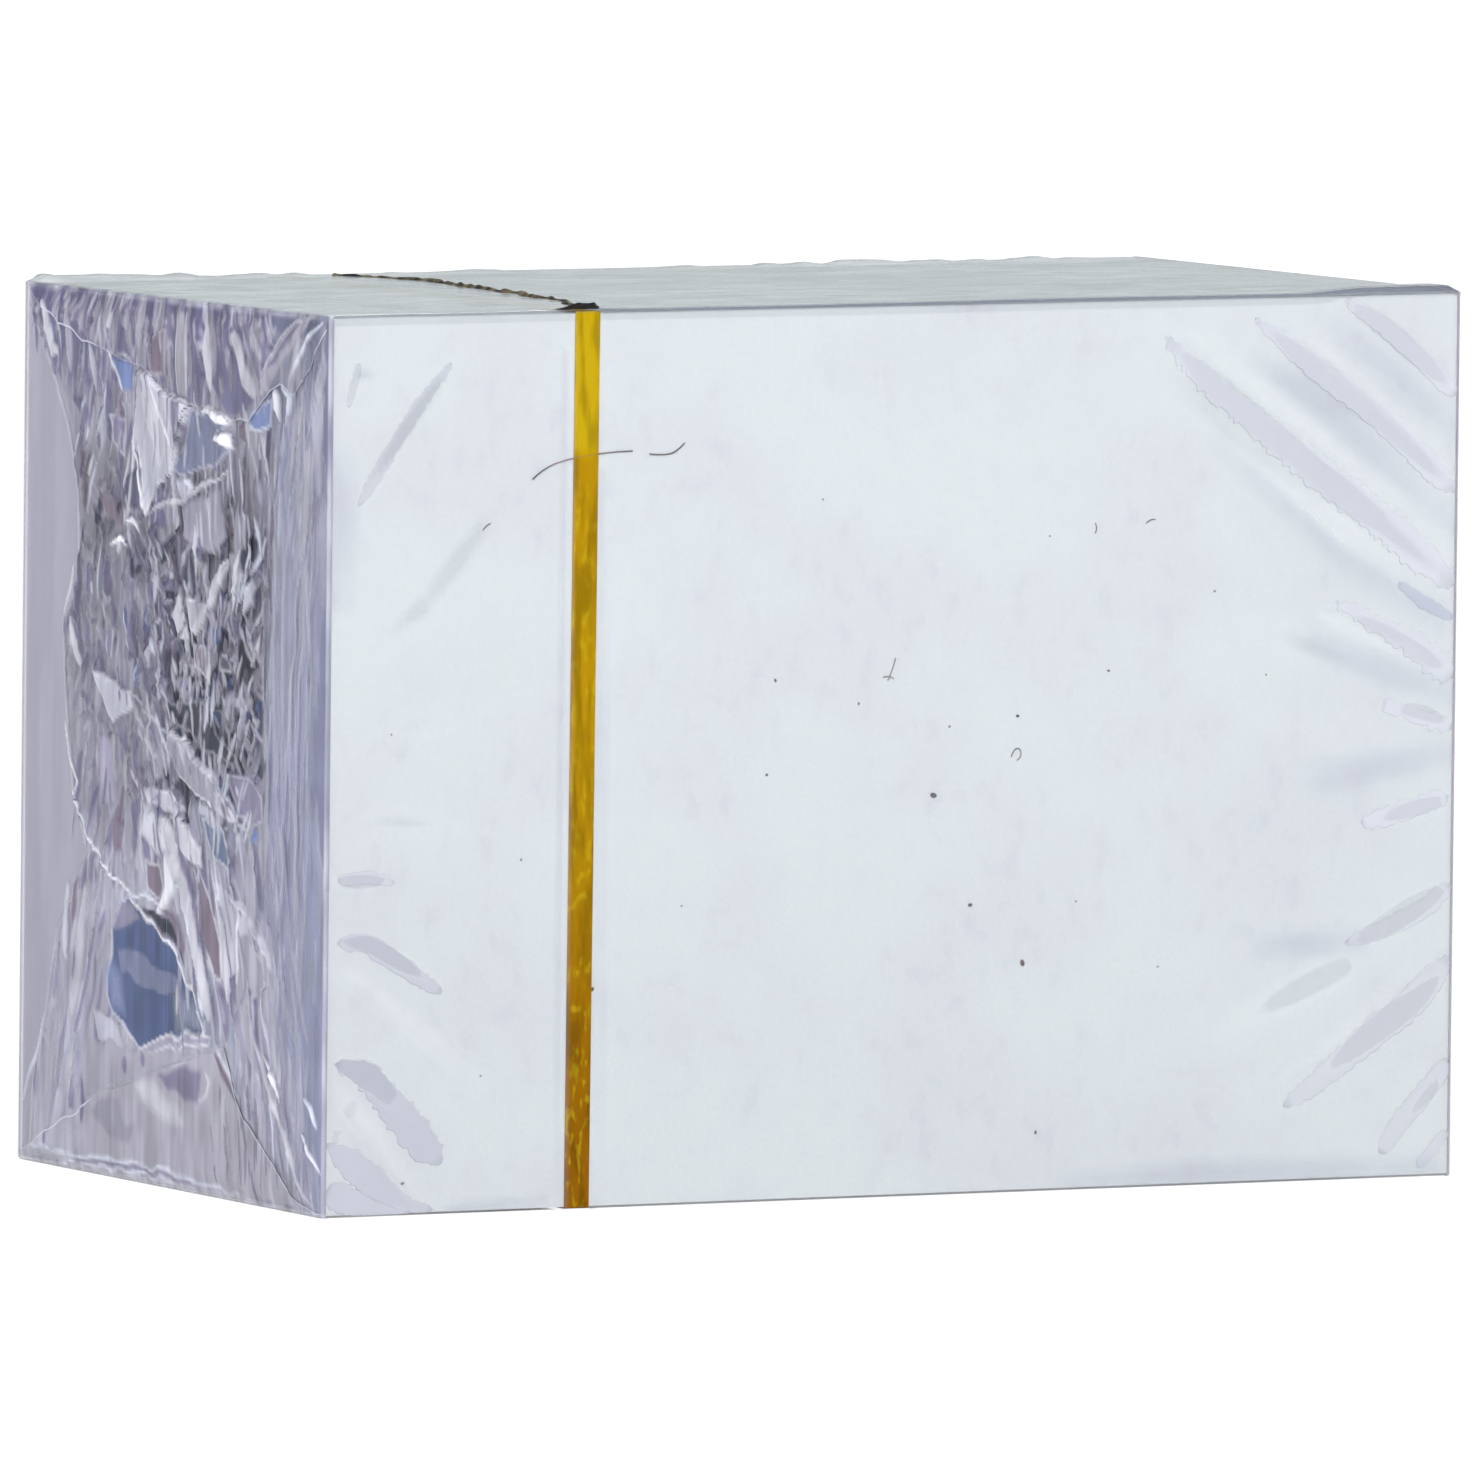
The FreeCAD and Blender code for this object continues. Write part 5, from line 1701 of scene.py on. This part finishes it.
def build_shaded_clings(maker: Maker, face: float = -20.05, film: float = 0.02) -> None:
    """Makes all the ribbons of clinging film and painted shade, under the sleeve's front, as one piece.

    Args:
        maker: What makes the piece.
        face: Where the ribbons' outsides lie.
        film: Their thickness.
    """
    walls, told = [], []
    for number, ribbon in enumerate(SHADED_CLINGS):
        outer, inner, paint_cover = ribbon.skins(number, face, film)
        walls.append(film_wall(outer, inner))
        tint = np.tile(np.array(ribbon.tint), (*paint_cover.shape, 1))
        told.append(twice({"layers": np.zeros(paint_cover.shape), "paint_cover": paint_cover, "tint": tint}))
    all_told = {name: np.concatenate([row[name] for row in told]) for name in told[0]}
    maker.film("film_shaded_clings", joined(walls), all_told)


# ------------------------------------------------------------- cards and dust


def dress_cards() -> None:
    """Gives every card its stock and the tear strip its gold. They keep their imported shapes."""
    stock, gold = CardStock().material(), GoldTape().material()
    for name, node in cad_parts.items():
        if name == "film_wrap":
            continue
        finish = gold if name == "tear_tape" else stock
        if not node.material_slots:
            node.data.materials.append(finish)
        for slot in node.material_slots:
            slot.material = finish
        LOG.info("%s: %s", name, finish.name)


# Each has a place along the pack, a place across it and a half width.
TAPE_DARK_LINE: tuple[Spot, ...] = (
    (-21.2, -19.5, 0.10), (-19.8, -16.5, 0.12), (-18.0, -11.6, 0.15), (-17.4, -6.0, 0.20),
    (-16.4, 0.0, 0.20), (-16.3, 4.5, 0.20), (-15.6, 10.5, 0.15), (-16.4, 15.0, 0.10), (-17.9, 18.3, 0.12),
)
# Each has a place along the pack, a place up it and a size.
SPECKS: tuple[Spot, ...] = (
    (2.5, 23.5, 0.15), (5, 17, 0.10), (8.5, 13.5, 0.14), (8, 28, 0.08), (-8, 30.5, 0.08), (-8.5, 25, 0.07),
    (9.5, 3.5, 0.08), (14, 30.5, 0.07), (-24.5, 20.5, 0.06), (21, 35, 0.06), (3.5, 27.5, 0.06),
    (-2.5, 29, 0.06), (-19.8, 12.8, 0.11), (12, 17, 0.05), (-14, 17.5, 0.05), (-27, 8, 0.05),
    (-32, 1.9, 0.09), (17.5, 13, 0.05), (-5, 41, 0.05), (24.5, 30, 0.05), (10, 38.5, 0.05), (-33, 28, 0.05),
)
FIBRES: tuple[Line, ...] = (
    ((-24, 42.6), (-23.2, 43.3), (-21.4, 43.8), (-18.6, 44.1), (-17.5, 44.1)),
    ((-16.4, 43.9), (-15.4, 43.8), (-14.6, 44), (-14.1, 44.5)),
    ((-0.6, 30.3), (-0.3, 30.9), (-0.1, 31.6)),
    ((-0.9, 30.5), (-0.5, 30.6), (-0.2, 30.4)),
    ((13, 38.6), (13.2, 38.9), (13, 39.2)),
    ((16.4, 39.1), (16.7, 39.4), (17, 39.3)),
    ((-27.2, 39.7), (-27, 40), (-26.7, 40.1)),
    ((7.6, 25.6), (7.8, 26.1), (8.2, 26.1), (8.3, 25.6), (8, 25.4)),
)


@dataclass(frozen=True)
class DirtAndTapeShade:
    """Specks and fibres caught between the film and the front card, and the painted shadow and the dark line
    on the film by the tape.
    """

    maker: Maker
    sleeve: FilmSleeve
    face: float = -20.035
    grain: float = 0.1
    fibre: float = 0.028
    long_fibres: int = 2
    # The wedge is painted shadow, in the gap where the tape bends away from the top edge.
    wedge: Place = (-22.5, -19.7)

    def scatter_tree(self) -> bpy.types.NodeTree:
        """Builds the tree that puts a turned, flattened grain at each speck's place.

        Returns:
            The node tree, with the inputs Grain Size, Seed and Finish.
        """
        group = bpy.data.node_groups.new("dust_specks", "GeometryNodeTree")
        inputs = {"Geometry": "Geometry", "Grain Size": "Float", "Seed": "Int", "Finish": "Material"}
        for name, kind in inputs.items():
            group.interface.new_socket(name, in_out="INPUT", socket_type=f"NodeSocket{kind}")
        group.interface.new_socket("Geometry", in_out="OUTPUT", socket_type="NodeSocketGeometry")
        tree = NodeTree(group)
        entry = tree.add("NodeGroupInput", {}).outputs
        ball = tree.add("GeometryNodeMeshIcoSphere", {"Subdivisions": 2, "Radius": entry["Grain Size"]})
        carried = tree.add("GeometryNodeInputNamedAttribute", {"Name": "size"}, data_type="FLOAT")
        size = Signal(tree, carried.outputs["Attribute"])
        shape = tree.add("ShaderNodeCombineXYZ", {0: size * 1.5, 1: size * 0.3, 2: size})
        limits = {"Min": (0.0, -3.1, 0.0), "Max": (0.0, 3.1, 0.0), "Seed": entry["Seed"]}
        turn = tree.add("FunctionNodeRandomValue", limits, data_type="FLOAT_VECTOR")
        sockets = {"Points": entry["Geometry"], "Instance": ball.outputs["Mesh"]}
        sockets |= {"Rotation": turn.outputs[0], "Scale": shape.outputs[0]}
        spread = tree.add("GeometryNodeInstanceOnPoints", sockets)
        real = tree.add("GeometryNodeRealizeInstances", {0: spread.outputs[0]})
        coat = tree.add("GeometryNodeSetMaterial", {"Geometry": real.outputs[0], "Material": entry["Finish"]})
        tree.add("NodeGroupOutput", {0: coat.outputs[0]})
        return group

    def build_specks(self) -> bpy.types.Object:
        """Makes the specks as one plain mesh.

        Returns:
            The piece.
        """
        seeds = bpy.data.meshes.new("speck_places")
        seeds.from_pydata([(x * MM, self.face * MM, z * MM) for x, z, _ in SPECKS], [], [])
        sizes = seeds.attributes.new("size", "FLOAT", "POINT").data
        sizes.foreach_set("value", [size / self.grain for _, _, size in SPECKS])
        holder = add_object("speck_places", seeds)
        modifier = holder.modifiers.new("scatter", "NODES")
        modifier.node_group = self.scatter_tree()
        wanted = {"Grain Size": self.grain * MM, "Seed": 7, "Finish": self.maker.finishes[Finish.LINT]}
        for item in modifier.node_group.interface.items_tree:
            if item.in_out == "INPUT" and item.name in wanted:
                modifier[item.identifier] = wanted[item.name]
        return baked(holder, "dust_specks")

    def build_fibres(self) -> bpy.types.Object:
        """Makes the fibres as thin bent tubes in one mesh.

        Returns:
            The piece.
        """
        curve = bpy.data.curves.new("fibres", "CURVE")
        curve.dimensions = "3D"
        curve.bevel_depth = self.fibre * MM
        curve.bevel_resolution = 1
        curve.use_fill_caps = True
        for number, line in enumerate(FIBRES):
            spline = curve.splines.new("NURBS")
            spline.points.add(len(line) - 1)
            for point, (x, z) in zip(spline.points, line):
                point.co = (x * MM, self.face * MM, z * MM, 1.0)
                point.radius = 1.5 if number < self.long_fibres else 1.0
            spline.order_u = 3
            spline.use_endpoint_u = True
        piece = baked(add_object("fibres", curve), "fibres")
        piece.data.materials.clear()
        piece.data.materials.append(self.maker.finishes[Finish.LINT])
        return piece

    def crest(self, x: Grid, y: Grid, wide: Grid, high: Grid, along_y: bool) -> Wall:
        """Raises one low dark crest on the film, along a line on the top.

        Args:
            x: The line's places along the pack.
            y: Its places across the pack.
            wide: The crest's half width at each.
            high: Its height at each.
            along_y: True if the line runs across the pack.

        Returns:
            The crest's points and faces.
        """
        sleeve, flat = self.sleeve, np.zeros(x.shape)
        top = sleeve.top_front + (sleeve.top_rear - sleeve.top_front) * (y - sleeve.front) / STACK_DEPTH
        top = top + sleeve.relief(Round(x, y, flat + CARD_HEIGHT, flat, flat + 1.0))
        rows = []
        for way, level in ((-1, -0.01), (0, high + 0.03), (1, -0.01)):
            aside, back = (way * wide, flat) if along_y else (flat, way * wide)
            rows.append(np.stack([x + aside, y + back, top + level], axis=-1))
        outer = np.stack(rows, axis=1)
        return film_wall(outer, outer - np.array([0.0, 0.0, sleeve.film]))

    def build_grime(self) -> bpy.types.Object:
        """Makes the dark wedge at the tape's top bend, a painted shadow in the gap where the tape bends away,
        and the dark line that runs back from it over the film.

        Returns:
            The piece.
        """
        shake = Heights(51)
        corners = np.array(TAPE_DARK_LINE)
        step = np.linspace(0, len(corners) - 1, 160)
        x, y, size = (np.interp(step, np.arange(len(corners)), column) for column in corners.T)
        x = x + (shake.along(step * 3 + 30, 9) - 0.5) * 0.6
        size = size * (0.35 + 1.1 * shake.along(step * 7 + 3, 3))
        crests = [self.crest(x, y, size, size * 0.8, True)]
        x = np.linspace(*self.wedge, 40)
        size = np.clip((x - x[0]) / 1.5, 0.03, 1.0) * np.clip((x[-1] - x) / 0.25, 0.3, 1.0)
        size = size * (0.85 + 0.3 * shake.along(x * 3, 0))
        crests.append(self.crest(x, x * 0 - 19.8, 0.05 + 0.22 * size, 0.27 * size, False))
        return self.maker.piece("tape_grime", joined(crests), Finish.GRIME, {})

    def build(self) -> None:
        """Makes the specks, the fibres, and the painted shadow and dark line by the tape."""
        for piece in (self.build_specks(), self.build_fibres(), self.build_grime()):
            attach(piece, "root")
            LOG.info("%s: %d faces", piece.name, len(piece.data.polygons))


# ------------------------------------------------------------------ the studio


def stand_panel(look: Look, corners: list[Spot], faces: list[tuple[int, ...]]) -> None:
    """Puts a panel in the studio.

    Args:
        look: Its name and finish.
        corners: Its corners, in metres.
        faces: Its faces, by corner number.
    """
    mesh = bpy.data.meshes.new(look.name)
    mesh.from_pydata(corners, [], faces)
    mesh.materials.append(look.material())
    panel = add_object(look.name, mesh)


@dataclass(frozen=True)
class Flag(Look):
    """A curved upright panel round the pack that only reflections see, dark or bright.

    Its two edges are in degrees from straight left, turning to the back, and its lengths are in metres.
    """

    name: str
    light: Colour
    radius: float
    edges: Place
    low: float
    high: float
    steps: int = 12

    def shader(self, tree: ShaderTree) -> Socket:
        """Builds a glow in reflections and nothing elsewhere.

        Args:
            tree: The material's tree.

        Returns:
            The shader's socket.
        """
        glossy = tree.read("ShaderNodeLightPath", "Is Glossy Ray")
        clear = tree.add("ShaderNodeBsdfTransparent", {}).outputs[0]
        return tree.blend(glossy, clear, tree.glow(self.light, 1.0))

    def build(self) -> None:
        """Stands the panel round the pack."""
        turns = np.radians(np.linspace(*self.edges, self.steps))
        ring = [(-self.radius * math.cos(turn), self.radius * math.sin(turn)) for turn in turns]
        corners = [(x, y, height) for height in (self.low, self.high) for x, y in ring]
        faces = [(i, i + 1, self.steps + i + 1, self.steps + i) for i in range(self.steps - 1)]
        stand_panel(self, corners, faces)


@dataclass(frozen=True)
class Floor(Look):
    """The pale floor, which keeps the pack's shadow and is brighter in the film's reflections."""

    name: str = "floor"
    colour: Colour = (0.86, 0.865, 0.875)
    reach: float = 4.5
    mirrored: float = 1.25

    def shader(self, tree: ShaderTree) -> Socket:
        """Builds white to the eye over a matt floor, and an uneven glow in reflections.

        Args:
            tree: The material's tree.

        Returns:
            The shader's socket.
        """
        seen, glossy = (tree.read("ShaderNodeLightPath", ray) for ray in ("Is Camera Ray", "Is Glossy Ray"))
        matt = tree.add("ShaderNodeBsdfDiffuse", {"Color": self.colour}).outputs[0]
        x, y = (tree.part(tree.place(), axis) for axis in (0, 1))
        away = (x ** 2.0 + y ** 2.0) ** 0.5
        level = self.mirrored * (0.82 + 0.35 * away.between(0.03, 0.5) - 0.55 * away.between(0.8, 3.0))
        shine = tree.glow(tree.shaded((0.98, 0.99, 1.0), level), 1.0)
        return tree.blend(glossy, tree.blend(seen * 0.72, matt, tree.glow((1.0, 1.0, 1.0), 1.26)), shine)

    def build(self) -> None:
        """Lays the floor."""
        corners = [(x * self.reach, y * self.reach, 0.0) for x, y in ((-1, -1), (1, -1), (1, 1), (-1, 1))]
        stand_panel(self, corners, [(0, 1, 2, 3)])


@dataclass(frozen=True)
class Lamp:
    """A soft square lamp. Its places are in metres and its power is in watts."""

    name: str
    place: Spot
    aim: Spot
    size: float
    power: float
    colour: Colour = (1.0, 1.0, 1.0)

    def build(self) -> None:
        """Hangs the lamp and turns it towards its aim."""
        lamp = bpy.data.lights.new(self.name, "AREA")
        lamp.shape = "SQUARE"
        lamp.size = self.size
        lamp.energy = self.power
        lamp.color = self.colour
        holder = add_object(self.name, lamp)
        holder.location = self.place
        holder.rotation_euler = (Vector(self.aim) - Vector(self.place)).to_track_quat("-Z", "Y").to_euler()


LAMPS: tuple[Lamp, ...] = (
    Lamp("key", (-0.15, -0.8, 0.75), (0.0, 0.0, 0.03), 0.5, 7.5, (1.0, 0.99, 0.97)),
    Lamp("fill_left", (-1.45, -0.1, 0.4), (-0.03, 0.0, 0.03), 0.8, 12.0),
    Lamp("fill_back", (1.35, 0.95, 0.55), (0.03, 0.0, 0.03), 0.9, 13.0),
)
FLAGS: tuple[Flag, ...] = (
    Flag("dark_flag_left", (0.05, 0.055, 0.08), 0.26, (-80.0, 40.0), 0.0005, 0.9),
    Flag("grey_card_back", (0.64, 0.69, 0.70), 3.4, (100.0, 200.0), 0.001, 1.9),
    Flag("white_card_high", (5.0, 5.0, 5.0), 2.0, (20.0, 130.0), 1.3, 3.4),
)


@dataclass(frozen=True)
class Camera:
    """The camera low on the pack's front left. Its angles are in degrees and its lengths in metres."""

    turn: float = -27.447
    rise: float = 4.489
    roll: float = 0.604
    away: float = 1.7166
    aside: float = 0.065 * MM
    above: float = 0.509 * MM
    lens: float = 710.9

    def build(self) -> None:
        """Stands the camera and makes it the scene's own."""
        turn, rise, roll = (math.radians(angle) for angle in (self.turn, self.rise, self.roll))
        back = Vector((math.sin(turn) * math.cos(rise), -math.cos(turn) * math.cos(rise), math.sin(rise)))
        right = Vector((math.cos(turn), math.sin(turn), 0.0))
        up = back.cross(right)
        across = right * math.cos(roll) + up * math.sin(roll)
        over = up * math.cos(roll) - right * math.sin(roll)
        middle = Vector((0.0, 0.0, CARD_HEIGHT / 2 * MM))
        place = middle + back * self.away - right * self.aside - up * self.above
        camera = bpy.data.cameras.new("camera")
        camera.sensor_width = 36.0
        camera.lens = self.lens
        camera.clip_start = 0.05
        camera.clip_end = 20.0
        holder = add_object("camera", camera)
        holder.matrix_world = Matrix.Translation(place) @ Matrix((across, over, back)).transposed().to_4x4()
        bpy.context.scene.camera = holder


def build_world(ambient: Colour = (0.32, 0.335, 0.40), unlit: Colour = (0.045, 0.047, 0.06)) -> None:
    """Sets the soft light from all round, white to the eye and dim in reflections.

    Args:
        ambient: The light that falls on the pack.
        unlit: What reflections see.
    """
    world = bpy.data.worlds.new("studio")
    tree = ShaderTree(world)
    lit = tree.mix(tree.read("ShaderNodeLightPath", "Is Glossy Ray"), ambient, unlit)
    colour = tree.mix(tree.read("ShaderNodeLightPath", "Is Camera Ray"), lit, (1.0, 1.0, 1.0))
    back = tree.add("ShaderNodeBackground", {"Color": colour, "Strength": 1.0})
    tree.add("ShaderNodeOutputWorld", {"Surface": back.outputs[0]})
    bpy.context.scene.world = world


def build_studio() -> None:
    """Makes the camera, the floor, the lights and the panels that the film mirrors."""
    Camera().build()
    Floor().build()
    build_world()
    for part in (*LAMPS, *FLAGS):
        part.build()
    scene = bpy.context.scene
    scene.view_settings.view_transform = "Standard"
    scene.cycles.transparent_max_bounces = 20
    scene.cycles.diffuse_bounces = 3
    scene.cycles.glossy_bounces = 3


def main() -> None:
    """Builds the pack and its studio."""
    logging.basicConfig(level=logging.INFO, format="%(name)s: %(message)s")
    build_studio()
    dress_cards()
    maker = Maker()
    sleeve = FilmSleeve(maker)
    sleeve.build()
    build_shaded_clings(maker)
    FilmEnd(maker, End.LEFT).build()
    window = (Tint.NAVY, Tint.BLUE, Tint.DEEP, Tint.BLACK, Tint.TEAL)
    plain = tuple(patch for patch in PATCHES if patch.tint not in window)
    FilmEnd(maker, End.RIGHT, columns=190, rows=190, patches=plain, streaks=STREAKS[::2], seed=23).build()
    DirtAndTapeShade(maker, sleeve).build()


if __name__ == "__main__":
    main()
